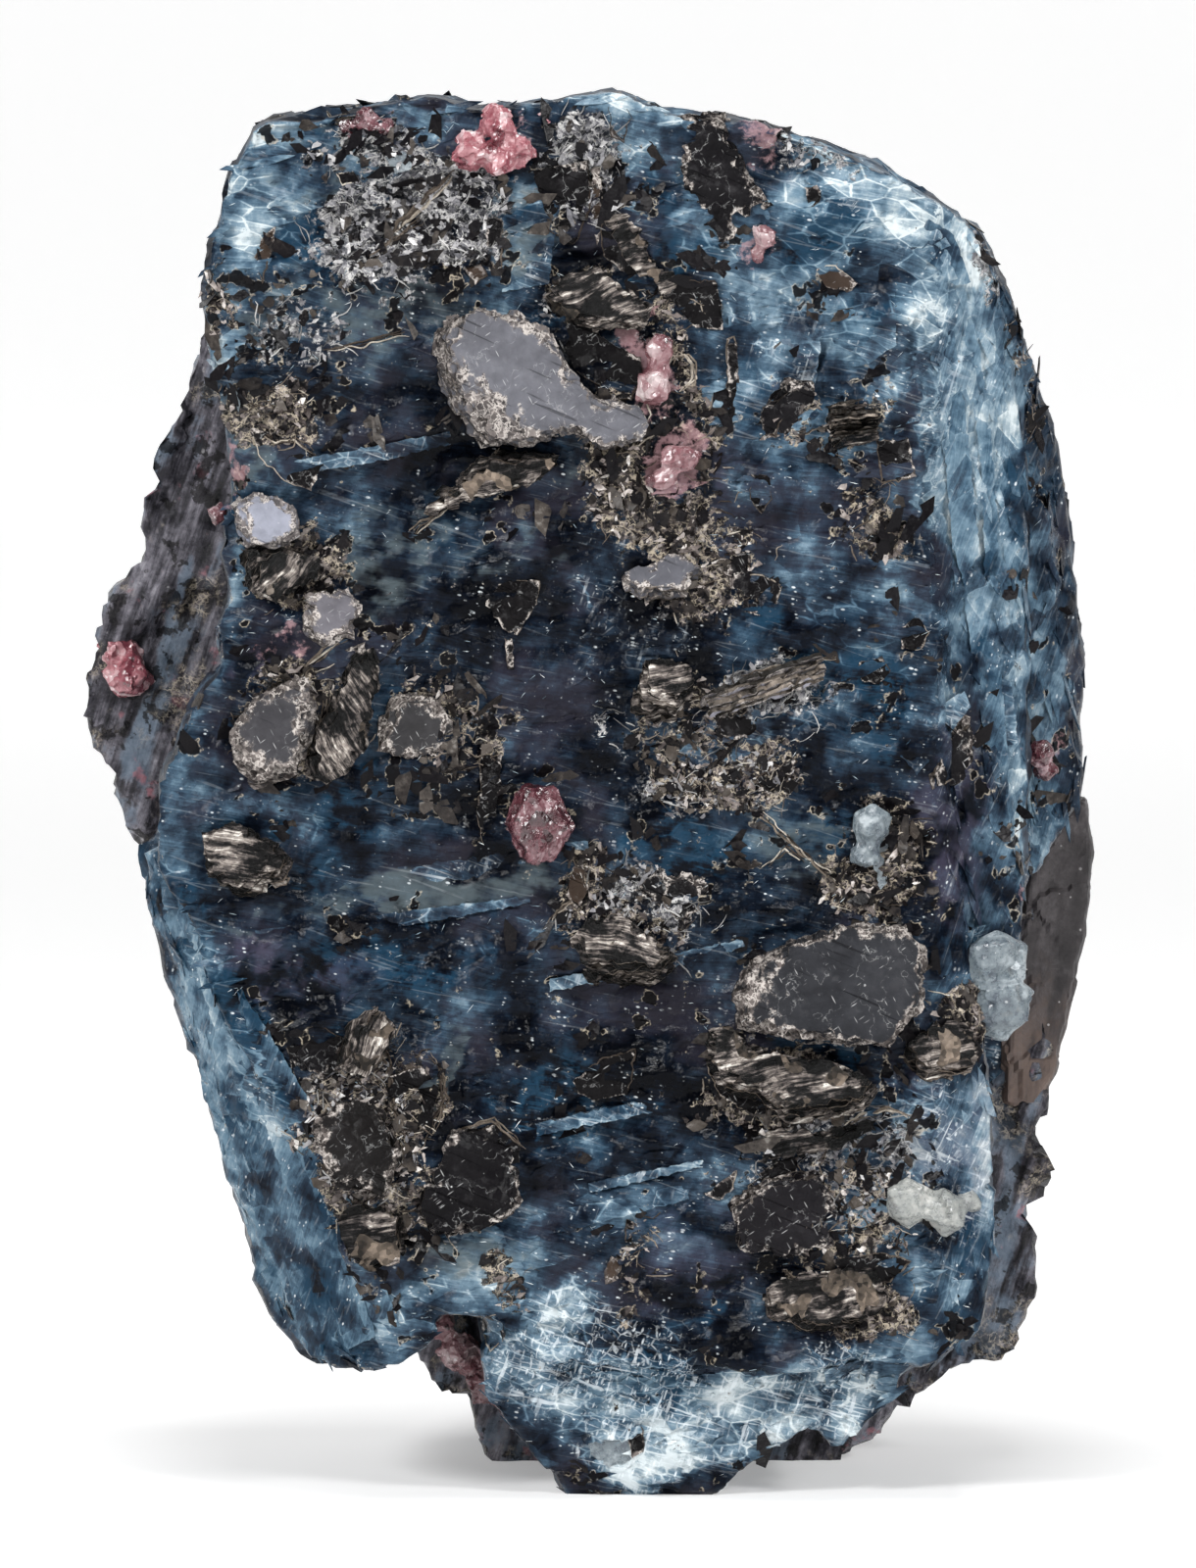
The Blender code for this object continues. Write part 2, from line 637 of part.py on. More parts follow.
def kyanite_relief(point, normal):
    x, _, z = point
    facing = max(0.0, -normal.y)
    right_flank = (x - RIGHT_FLANK_START) / FLANK_BLEND
    left_flank = (-x - LEFT_FLANK_SLOPE * z - LEFT_FLANK_START) / FLANK_BLEND
    flank = min(1.0, max(0.0, right_flank, left_flank))
    laths = lath_steps(x, z, TRACE_ANGLE, 3.0) * (1 - flank)
    laths += lath_steps(x, z, FIBRE_ANGLE, 17.0) * flank
    height = facing * (laths + swell(x, z))
    break_height, break_size = KYANITE_BREAK
    grain_height, grain_size = KYANITE_GRAIN
    height += break_height * broken_facets(point, break_size, 4.0)
    return height + grain_height * noise.noise(point / grain_size)


def schist_relief(point, _normal):
    # Schist breaks along its layers, which stand nearly upright.
    run, across = along(point.x, point.z, FIBRE_ANGLE)
    layer_height, layer_size = SCHIST_LAYER
    lump_height, lump_size = SCHIST_LUMP
    break_height, break_size = SCHIST_BREAK
    place = (across / layer_size, run / SCHIST_LAYER_LENGTH, point.y / SCHIST_LAYER_DEPTH)
    height = layer_height * noise.noise(Vector(place))
    height += lump_height * noise.noise(point / lump_size)
    return height + break_height * broken_facets(point, break_size, 12.0)


def roughen(block, relief):
    mesh = block.data
    moves = []
    for vert in mesh.vertices:
        moves.append(vert.normal * relief(vert.co / MM, vert.normal) * MM)
    for vert, move in zip(mesh.vertices, moves):
        vert.co += move


def thin_out(block, triangles):
    block.data.calc_loop_triangles()
    decimate = block.modifiers.new("fewer_faces", "DECIMATE")
    decimate.ratio = triangles / len(block.data.loop_triangles)
    take_in_modifiers(block)


# Mica books

def look(turned, tipped):
    # The outward direction of a face turned to the right and tipped upwards.
    turn, tip = math.radians(turned), math.radians(tipped)
    return Vector((math.sin(turn) * math.cos(tip), -math.cos(turn) * math.cos(tip), math.sin(tip)))


def on_cleavage(book, behind, ahead):
    # Places an outline's corners ahead of the book's top sheet and behind it.
    outline = book["outline"]
    middle_x = sum(x for x, _ in outline) / len(outline)
    middle_z = sum(z for _, z in outline) / len(outline)
    outward = look(book["turned"], book["tipped"])

    def place(x, z, front):
        rise = outward.x * (x - middle_x) + outward.z * (z - middle_z)
        corner = Vector((x, FACE_DEPTH - book["stands_out"] - rise / outward.y, z))
        return corner + outward * (ahead if front else -behind)

    return place


def book_mesh(name, book, where):
    # The sheets stop short of each other in a ledge near the top.
    place = on_cleavage(book, book["thick"], -LEDGE_RISE)
    mesh = outline_prism(name, book["outline"], place, where)
    outward = look(book["turned"], book["tipped"])
    bm = bmesh.new()
    bm.from_mesh(mesh)
    bm.normal_update()
    top = [face for face in bm.faces if face.normal.dot(outward) > ONE_PLANE]
    bmesh.ops.inset_region(bm, faces=top, thickness=LEDGE_WIDTH * MM)
    bmesh.ops.inset_region(bm, faces=top, thickness=LEDGE_SLOPE * MM, depth=LEDGE_RISE * MM)
    bm.to_mesh(mesh)
    bm.free()
    return mesh


def grown_outline(outline):
    # The outline's convex hull, moved outwards by the gap all round.
    hull = [Vector(outline[index]) for index in geometry.convex_hull_2d(outline)]
    turn = sum(a.cross(b) for a, b in zip(hull, hull[1:] + hull[:1]))
    if turn < 0:
        hull.reverse()
    grown = []
    for index, corner in enumerate(hull):
        before = (corner - hull[index - 1]).normalized()
        after = (hull[(index + 1) % len(hull)] - corner).normalized()
        side_a = Vector((before.y, -before.x))
        side_b = Vector((after.y, -after.x))
        share = max(SHARPEST_CORNER, 1 + side_a.dot(side_b))
        grown.append(tuple(corner + (side_a + side_b) * GAP / share))
    return grown


def book_pocket(name, book, where):
    place = on_cleavage(book, book["thick"] + GAP, POCKET_REACH)
    return outline_prism(name, grown_outline(book["outline"]), place, where)


# Grains and lumps

def garnet_mesh(name, grain, spread):
    # A rhombic dodecahedron: the corners of a cube, and one above each side of it.
    x, y, z, radius = grain
    corners = [Vector(signs) for signs in itertools.product((-1, 1), repeat=3)]
    for axis, sign in itertools.product(range(3), (-2, 2)):
        corner = Vector()
        corner[axis] = sign
        corners.append(corner)
    turned = Euler((5 * x, 3 * z, 7 * x)).to_matrix()
    bm = bmesh.new()
    for corner in corners:
        bm.verts.new((Vector((x, y, z)) + turned @ corner / 2 * (radius + spread)) * MM)
    bmesh.ops.convex_hull(bm, input=bm.verts)
    bmesh.ops.recalc_face_normals(bm, faces=bm.faces)
    mesh = bpy.data.meshes.new(name)
    bm.to_mesh(mesh)
    bm.free()
    return mesh


def quartz_mesh(name, lump, spread):
    x, y, z, radius = lump
    bm = bmesh.new()
    bmesh.ops.create_icosphere(bm, subdivisions=1, radius=1.0)
    for vert in bm.verts:
        rough = 1 + 0.25 * noise.noise(vert.co * 1.5 + Vector((x, y, z)))
        vert.co = (Vector((x, y, z)) + vert.co * (radius * rough + spread)) * MM
    mesh = bpy.data.meshes.new(name)
    bm.to_mesh(mesh)
    bm.free()
    return mesh


def grown_together(name, lumps, make, where, helpers):
    # Lumps of one mineral that touch are one crystal mass.
    block = add_object(name, make(name, lumps[0], 0.0), where)
    others = []
    for index, lump in enumerate(lumps[1:]):
        piece = f"{name}_lump_{index}"
        others.append(add_object(piece, make(piece, lump, 0.0), helpers))
    boolean(block, "UNION", others)
    return block


def lump_pockets(name, lumps, make, where):
    pockets = []
    for index, lump in enumerate(lumps):
        piece = f"{name}_pocket_{index}"
        pockets.append(add_object(piece, make(piece, lump, GAP * ROUND_GAP_SHARE), where))
    return pockets


def reaches_behind(pocket):
    return max(vert.co.y for vert in pocket.data.vertices) > SEAM_DEPTH * MM


# Finish

def paint(obj, kind):
    colour, roughness = FINISHES[kind]
    material = bpy.data.materials.new(obj.name)
    material.use_nodes = True
    shader = material.node_tree.nodes["Principled BSDF"]
    shader.inputs["Base Color"].default_value = (*colour, 1)
    shader.inputs["Roughness"].default_value = roughness
    obj.data.materials.clear()
    obj.data.materials.append(material)


def build():
    for obj in list(bpy.data.objects):
        bpy.data.objects.remove(obj)
    parts = new_collection("almandine_garnet_on_kyanite")
    helpers = new_collection("cutters")

    pockets = []
    for name, book in MICA_BOOKS.items():
        node = add_object("mica_" + name, book_mesh(name, book, helpers), parts)
        paint(node, "mica")
        pocket = book_pocket(name + "_pocket", book, helpers)
        pockets.append(add_object(name + "_pocket", pocket, helpers))
    for name, grains in GARNETS.items():
        node = grown_together("garnet_" + name, grains, garnet_mesh, parts, helpers)
        paint(node, "garnet")
        pockets += lump_pockets(name, grains, garnet_mesh, helpers)
    for name, lumps in PALE_LUMPS.items():
        node = grown_together("quartz_" + name, lumps, quartz_mesh, parts, helpers)
        paint(node, "quartz")
        pockets += lump_pockets(name, lumps, quartz_mesh, helpers)

    low, high = (-FAR, -FAR, -FAR), (FAR, FAR, FAR)
    under = box("under_foot", low, (FAR, FAR, FOOT_LEVEL), helpers)
    behind = box("behind_seam", (-FAR, SEAM_DEPTH, -FAR), high, helpers)
    before = box("before_seam", low, (FAR, SEAM_DEPTH + GAP, FAR), helpers)

    kyanite = rough_block("kyanite_blades", KYANITE_BLADES, SEAM_DEPTH + SEAM_OVERLAP, parts)
    roughen(kyanite, kyanite_relief)
    thin_out(kyanite, KYANITE_TRIANGLES)
    boolean(kyanite, "DIFFERENCE", [under, behind] + pockets)
    keep_largest_body(kyanite)
    paint(kyanite, "kyanite")

    schist = rough_block("schist_matrix", SCHIST_BLADES, BACK_DEPTH, parts)
    roughen(schist, schist_relief)
    thin_out(schist, SCHIST_TRIANGLES)
    deep = [pocket for pocket in pockets if reaches_behind(pocket)]
    boolean(schist, "DIFFERENCE", [under, before] + deep)
    keep_largest_body(schist)
    paint(schist, "schist")

    for helper in helpers.objects:
        helper.hide_render = True
        helper.display_type = "WIRE"


build()
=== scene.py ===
import json
import math
import random

import bmesh
import bpy
import numpy as np
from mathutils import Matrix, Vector, geometry, noise
from mathutils.bvhtree import BVHTree

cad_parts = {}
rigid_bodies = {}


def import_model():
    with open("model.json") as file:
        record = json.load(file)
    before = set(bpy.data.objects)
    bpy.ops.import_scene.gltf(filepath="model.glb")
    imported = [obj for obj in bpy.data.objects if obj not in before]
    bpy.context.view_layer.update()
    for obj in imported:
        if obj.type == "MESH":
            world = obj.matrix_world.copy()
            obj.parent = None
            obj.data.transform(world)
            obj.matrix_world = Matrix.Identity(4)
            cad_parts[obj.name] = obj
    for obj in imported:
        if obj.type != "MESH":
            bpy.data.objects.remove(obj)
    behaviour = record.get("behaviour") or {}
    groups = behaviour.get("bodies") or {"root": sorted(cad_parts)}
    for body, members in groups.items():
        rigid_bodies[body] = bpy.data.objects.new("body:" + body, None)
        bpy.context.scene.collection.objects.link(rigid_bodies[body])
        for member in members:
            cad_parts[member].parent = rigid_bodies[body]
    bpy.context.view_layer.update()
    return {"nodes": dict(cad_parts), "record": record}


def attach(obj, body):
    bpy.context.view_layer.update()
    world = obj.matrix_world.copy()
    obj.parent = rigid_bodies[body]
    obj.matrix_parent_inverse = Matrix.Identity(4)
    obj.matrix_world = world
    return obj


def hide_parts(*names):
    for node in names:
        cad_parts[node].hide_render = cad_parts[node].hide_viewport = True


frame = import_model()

# Looks of a hand specimen: blue kyanite on dark mica schist, with biotite books, garnets and quartz.
# Lengths are in millimetres and become metres when a mesh is made.
mm = 0.001

# The picture that the front face fills: millimetres to a point, and the points of the middle and the foot
picture = {"mmPerPoint": 0.0275, "middleX": 640, "footY": 1540, "width": 1220, "height": 1600}


def onFace(px, py):
    scale = picture["mmPerPoint"]
    return (px - picture["middleX"]) * scale, (picture["footY"] - py) * scale


# Node helpers, for materials and for the geometry tree
class Signal:
    # an output socket, with arithmetic; a | b is the larger of the two
    def __init__(self, maker, socket):
        self.maker = maker
        self.socket = socket

    def __add__(self, other):
        return self.maker.math("ADD", self, other)

    def __sub__(self, other):
        return self.maker.math("SUBTRACT", self, other)

    def __rsub__(self, other):
        return self.maker.math("SUBTRACT", other, self)

    def __mul__(self, other):
        return self.maker.math("MULTIPLY", self, other)

    def __or__(self, other):
        return self.maker.math("MAXIMUM", self, other)


class NodeMaker:
    def __init__(self, tree):
        self.tree = tree

    def find(self, sockets, key):
        for socket in sockets:
            if socket.identifier == key:
                return socket
        return next(socket for socket in sockets if socket.name == key)

    def feed(self, socket, value):
        if isinstance(value, Signal):
            self.tree.links.new(value.socket, socket)
        elif socket.type == "RGBA" and len(value) == 3:
            socket.default_value = (*value, 1)
        else:
            socket.default_value = value

    def node(self, kind, settings, sockets, result=None):
        # settings first, because some of them change the sockets
        made = self.tree.nodes.new(kind)
        for key, value in settings.items():
            if key == "stops":
                self.setStops(made.color_ramp, value)
            else:
                setattr(made, key, value)
        for key, value in sockets.items():
            self.feed(self.find(made.inputs, key), value)
        return Signal(self, self.find(made.outputs, result)) if result else made

    def setStops(self, ramp, stops):
        while len(ramp.elements) < len(stops):
            ramp.elements.new(0.5)
        for element, (place, colour) in zip(ramp.elements, stops):
            element.position = place
            element.color = (*colour, 1)

    def math(self, operation, first, second=0.5):
        return self.node("ShaderNodeMath", {"operation": operation}, {"Value": first, "Value_001": second}, "Value")

    def between(self, value, low, high):
        sockets = {"Value": value, "From Min": low, "From Max": high}
        return self.node("ShaderNodeMapRange", {"interpolation_type": "SMOOTHSTEP"}, sockets, "Result")


class Finish(NodeMaker):
    # one material, worked out in millimetres of the piece; its colour grows by laying one over another
    sockets = {"color": "Base Color", "rough": "Roughness", "normal": "Normal", "ior": "IOR",
               "clear": "Transmission Weight", "level": "Specular IOR Level", "glow": "Emission Color",
               "glowing": "Emission Strength"}

    def __init__(self, name):
        self.material = bpy.data.materials.new(name)
        self.material.use_nodes = True
        super().__init__(self.material.node_tree)
        place = self.node("ShaderNodeTexCoord", {}, {}, "Object")
        self.place = self.vector("MULTIPLY", place, (1 / mm, 1 / mm, 1 / mm))
        self.colour = None

    def set(self, **values):
        for key, value in values.items():
            self.feed(self.tree.nodes["Principled BSDF"].inputs[self.sockets[key]], value)
        return self.material

    def setOver(self, height, strength, **values):
        # the colours laid so far, with a height in millimetres as bump
        bump = {"Height": height, "Distance": mm, "Strength": strength}
        return self.set(color=self.colour, normal=self.node("ShaderNodeBump", {}, bump, "Normal"), **values)

    def cover(self, share, shade):
        self.colour = self.mix(share, self.colour, shade)

    def mask(self, name):
        return self.node("ShaderNodeAttribute", {"attribute_name": name}, {}, "Fac")

    def vector(self, operation, first, second, result="Vector"):
        sockets = {"Vector": first, "Vector_001": second}
        return self.node("ShaderNodeVectorMath", {"operation": operation}, sockets, result)

    def axis(self, name):
        return self.node("ShaderNodeSeparateXYZ", {}, {"Vector": self.place}, name)

    def mix(self, share, low, high):
        sockets = {"Factor_Float": share, "A_Color": low, "B_Color": high}
        return self.node("ShaderNodeMix", {"data_type": "RGBA"}, sockets, "Result_Color")

    def mixVector(self, share, low, high):
        sockets = {"Factor_Float": share, "A_Vector": low, "B_Vector": high}
        return self.node("ShaderNodeMix", {"data_type": "VECTOR"}, sockets, "Result_Vector")

    def lengthwise(self, angle, alongSize, acrossSize, deepSize, place=None):
        # a grid that runs along a direction on the face, with its own size each way
        turned = self.node("ShaderNodeVectorRotate", {"rotation_type": "Y_AXIS"},
                           {"Vector": place or self.place, "Angle": math.radians(angle)}, "Vector")
        return self.vector("MULTIPLY", turned, (1 / alongSize, 1 / deepSize, 1 / acrossSize))

    def cloud(self, scale, detail, rough, where=None, result="Fac"):
        sockets = {"Vector": where or self.place, "Scale": scale, "Detail": detail, "Roughness": rough}
        return self.node("ShaderNodeTexNoise", {}, sockets, result)

    def ramp(self, value, stops):
        return self.node("ShaderNodeValToRGB", {"stops": stops}, {"Fac": value}, "Color")

    def cells(self, scale, where=None, feature="F1", uneven=1.0):
        sockets = {"Vector": where or self.place, "Scale": scale, "Randomness": uneven}
        return self.node("ShaderNodeTexVoronoi", {"feature": feature}, sockets)

    def cellBorder(self, where, uneven=1.0):
        return Signal(self, self.cells(1.0, where, "DISTANCE_TO_EDGE", uneven).outputs["Distance"])

    def chances(self, cells):
        # three random values for each cell
        return self.node("ShaderNodeSeparateColor", {}, {"Color": Signal(self, cells.outputs["Color"])}).outputs

    def chance(self, channel, scale, where=None):
        return Signal(self, self.chances(self.cells(scale, where))[channel])

    def tiltedCells(self, scale, where=None):
        # each cell is a flat break with its own tilt, as a height
        made = self.cells(scale, where)
        away = self.vector("SUBTRACT", where or self.place, Signal(self, made.outputs["Position"]))
        tilt = self.vector("SUBTRACT", Signal(self, made.outputs["Color"]), (0.5, 0.5, 0.5))
        return self.vector("DOT_PRODUCT", away, tilt, "Value")

    def specks(self, scale, size, share, where=None):
        # small grains, on that share of the cells
        made = self.cells(scale, where)
        red, green, blue = [Signal(self, channel) for channel in self.chances(made)]
        chosen = self.math("LESS_THAN", red, share)
        far = self.math("DIVIDE", Signal(self, made.outputs["Distance"]), green * size + size * 0.4)
        return (1 - self.between(far, 0.5, 1.0)) * chosen * (blue * 0.75 + 0.25)

    def filaments(self, scale, width, detail=3.0):
        # thin wandering lines, where a noise passes its middle value
        level = self.cloud(scale, detail, 0.55)
        away = self.math("ABSOLUTE", level - 0.5)
        return 1 - self.between(away, width * 0.25, width)


# Meshes and pieces
def meshObject(name, mesh, *materials):
    made = bpy.data.objects.new(name, mesh)
    bpy.context.scene.collection.objects.link(made)
    for material in materials:
        mesh.materials.append(material)
    return made


def meshOf(name, bm):
    mesh = bpy.data.meshes.new(name)
    bm.to_mesh(mesh)
    bm.free()
    return mesh


def evaluatedMesh(obj):
    graph = bpy.context.evaluated_depsgraph_get()
    return bpy.data.meshes.new_from_object(obj.evaluated_get(graph))


def removeObject(obj):
    mesh = obj.data
    bpy.data.objects.remove(obj)
    bpy.data.meshes.remove(mesh)


def evened(mesh, voxel):
    # the same shape on an even grid
    block = meshObject("raw", mesh)
    grow = block.modifiers.new("evened", "REMESH")
    grow.mode = "VOXEL"
    grow.voxel_size = voxel * mm
    mesh = evaluatedMesh(block)
    removeObject(block)
    return mesh


def settle(piece, slotName, *nodes):
    # every piece rides with the stone
    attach(piece, "root")
    if nodes:
        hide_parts(*nodes)
    return piece


def setMask(mesh, name, values):
    mask = mesh.attributes.get(name) or mesh.attributes.new(name, "FLOAT", "POINT")
    mask.data.foreach_set("value", np.asarray(values, np.float32))


def readMask(mesh, name):
    values = np.empty(len(mesh.vertices), np.float32)
    mesh.attributes[name].data.foreach_get("value", values)
    return values


def pointsOf(mesh):
    found = np.empty(len(mesh.vertices) * 3, np.float32)
    mesh.vertices.foreach_get("co", found)
    return found.reshape(-1, 3) / mm


def movePoints(mesh, points):
    mesh.vertices.foreach_set("co", (points * mm).astype(np.float32).ravel())


def loosened(node):
    # a CAD node's merged copy
    bm = bmesh.new()
    bm.from_mesh(frame["nodes"][node].data)
    bmesh.ops.remove_doubles(bm, verts=bm.verts, dist=1e-6)
    return bm


# Camera: at the photograph's angle, aimed so that the front face fills the picture
cameraPlace = {"elevation": 4.0, "distance": 300.0, "faceDepth": -7.0, "sensor": 36, "near": 0.01, "far": 10}


def makeCamera():
    middle = onFace(picture["width"] / 2, picture["height"] / 2)
    target = Vector((middle[0], cameraPlace["faceDepth"], middle[1]))
    rise = math.radians(cameraPlace["elevation"])
    back = Vector((0, -math.cos(rise), math.sin(rise)))
    lens = bpy.data.cameras.new("studioLens")
    camera = bpy.data.objects.new("studioCamera", lens)
    bpy.context.scene.collection.objects.link(camera)
    camera.location = (target + back * cameraPlace["distance"]) * mm
    camera.rotation_euler = (-back).to_track_quat("-Z", "Y").to_euler()
    lens.sensor_width = cameraPlace["sensor"]
    halfHeight = picture["height"] * picture["mmPerPoint"] / 2
    lens.lens = lens.sensor_width / 2 * cameraPlace["distance"] / halfHeight
    lens.clip_start = cameraPlace["near"]
    lens.clip_end = cameraPlace["far"]
    bpy.context.scene.camera = camera


makeCamera()
print("camera set")

# The stone's two masses. The outlines are those of the CAD, as (x, z) seen from the front.
stone = {
    "seam": 1.5, "back": 9.0, "coarseVoxel": 0.29, "grownPast": 0.5, "traceAngle": 11.0, "fibreAngle": -72.0,
    "lath": 0.1, "fineLath": 0.04, "refineTowards": -0.35,
}

kyaniteBlades = {
    "broadFace": {
        "outline": [
            (-11.1, 37.6), (-10.4, 38.8), (-8.5, 39.1), (-5.4, 39.6), (-4.4, 39.2), (-2.2, 39.4), (-0.4, 39.7),
            (1.1, 39.1), (2.9, 39.0), (5.8, 38.1), (7.3, 37.5), (8.2, 36.9), (8.2, 28.6), (9.5, 17.6),
            (10.2, 12.1), (10.2, 8.0), (10.1, 5.0), (8.4, 3.8), (-2.2, 3.9), (-3.9, 5.4), (-5.8, 5.4),
            (-7.4, 5.8), (-8.2, 7.4), (-8.9, 9.6), (-10.2, 11.8), (-11.4, 13.5), (-12.1, 16.2), (-13.2, 18.1),
            (-13.1, 20.4), (-12.1, 22.7), (-11.4, 23.4), (-11.5, 24.8), (-11.1, 25.9), (-11.5, 27.1),
            (-11.0, 28.6), (-11.3, 30.8), (-11.7, 32.7), (-11.8, 34.4), (-11.5, 36.0)],
        "depth": -7.0, "pivot": (0.0, 20.0), "falls": (0.0, -1.0), "slope": 0.0},
    "nearRightFlank": {
        "outline": [
            (7.0, 37.5), (8.6, 36.7), (9.7, 35.8), (10.4, 34.1), (11.0, 30.8), (11.3, 25.9), (11.4, 20.4),
            (11.3, 17.5), (11.1, 15.9), (11.0, 14.6), (10.4, 13.3), (8.8, 13.2), (7.2, 23.1)],
        "depth": -7.0, "pivot": (8.2, 25.0), "falls": (1.0, 0.0), "slope": 0.6},
    "farRightFlank": {
        "outline": [
            (8.6, 36.4), (10.0, 35.9), (10.6, 34.1), (11.1, 32.9), (11.8, 31.1), (12.4, 28.6), (12.7, 26.9),
            (12.8, 25.3), (13.0, 23.1), (13.0, 20.6), (12.8, 19.2), (11.6, 17.6), (9.9, 17.6)],
        "depth": -4.9, "pivot": (11.2, 25.0), "falls": (1.0, 0.0), "slope": 1.9},
    "leftLowFlank": {
        "outline": [
            (-13.7, 18.3), (-13.5, 17.1), (-13.1, 14.8), (-12.4, 12.7), (-11.7, 10.4), (-11.2, 8.2), (-10.7, 6.2),
            (-10.2, 5.0), (-9.0, 3.5), (-7.0, 3.6), (-5.5, 4.7), (-5.4, 5.9), (-7.0, 6.3), (-7.8, 7.8),
            (-8.5, 10.0), (-9.8, 12.2), (-11.0, 13.9), (-11.7, 16.6), (-12.6, 18.4)],
        "depth": -6.8, "pivot": (-12.1, 16.8), "falls": (-0.93, -0.37), "slope": 1.3},
    "steppedEnd": {
        "outline": [
            (-3.9, 6.0), (8.2, 6.0), (7.8, 3.9), (7.5, 2.8), (6.6, 2.0), (6.2, 1.4), (5.7, 1.4), (5.4, 2.1),
            (4.4, 1.6), (3.4, 1.0), (2.1, -0.4), (-1.6, -0.4), (-2.4, 0.9), (-3.2, 1.8), (-3.9, 2.9), (-4.1, 4.1)],
        "depth": -6.7, "pivot": (0.0, 6.0), "falls": (0.0, -1.0), "slope": 0.28},
}

schistBlades = {
    "backMass": {
        "outline": [
            (-12.4, 33.2), (-13.1, 31.0), (-13.8, 29.8), (-14.1, 28.2), (-14.2, 26.6), (-14.6, 25.4),
            (-15.1, 24.4), (-15.85, 23.0), (-15.8, 21.8), (-15.5, 20.7), (-14.7, 19.6), (-14.0, 17.6),
            (-12.6, 13.5), (-11.0, 9.3), (-9.3, 5.5), (-6.0, 4.1), (-4.9, 1.9), (-4.1, 0.7), (-3.8, -0.9),
            (6.2, -0.9), (6.8, 1.2), (8.4, 2.2), (11.1, 3.3), (11.8, 5.0), (11.9, 6.6), (12.15, 8.7),
            (12.3, 10.6), (12.5, 12.6), (12.5, 15.0), (11.9, 19.0), (11.0, 28.6), (9.9, 34.1), (7.2, 36.9),
            (-3.9, 38.8), (-10.4, 37.4)],
        "depth": 2.1, "pivot": (0.0, 8.0), "falls": (0.0, -1.0), "slope": 0.0, "taper": 0.18},
}

# swells and hollows of the broad face: x, z, half width, half height, how far it stands out
swells = [
    (-5.0, 33.5, 5.0, 3.5, 0.35), (-6.0, 28.6, 4.5, 2.6, -0.55), (4.6, 32.8, 3.4, 3.0, -0.45),
    (-1.5, 31.6, 3.2, 2.6, 0.45), (-9.0, 23.0, 3.0, 3.4, 0.4), (-6.8, 17.6, 5.0, 1.4, -0.35),
    (-6.0, 9.8, 3.6, 3.4, 0.5), (-0.8, 10.4, 2.6, 2.8, -0.55), (5.8, 14.2, 3.4, 2.2, 0.6),
    (6.0, 8.4, 3.4, 3.0, 0.35), (0.6, 21.4, 3.4, 2.0, -0.35), (5.4, 18.6, 3.0, 1.4, 0.25),
]

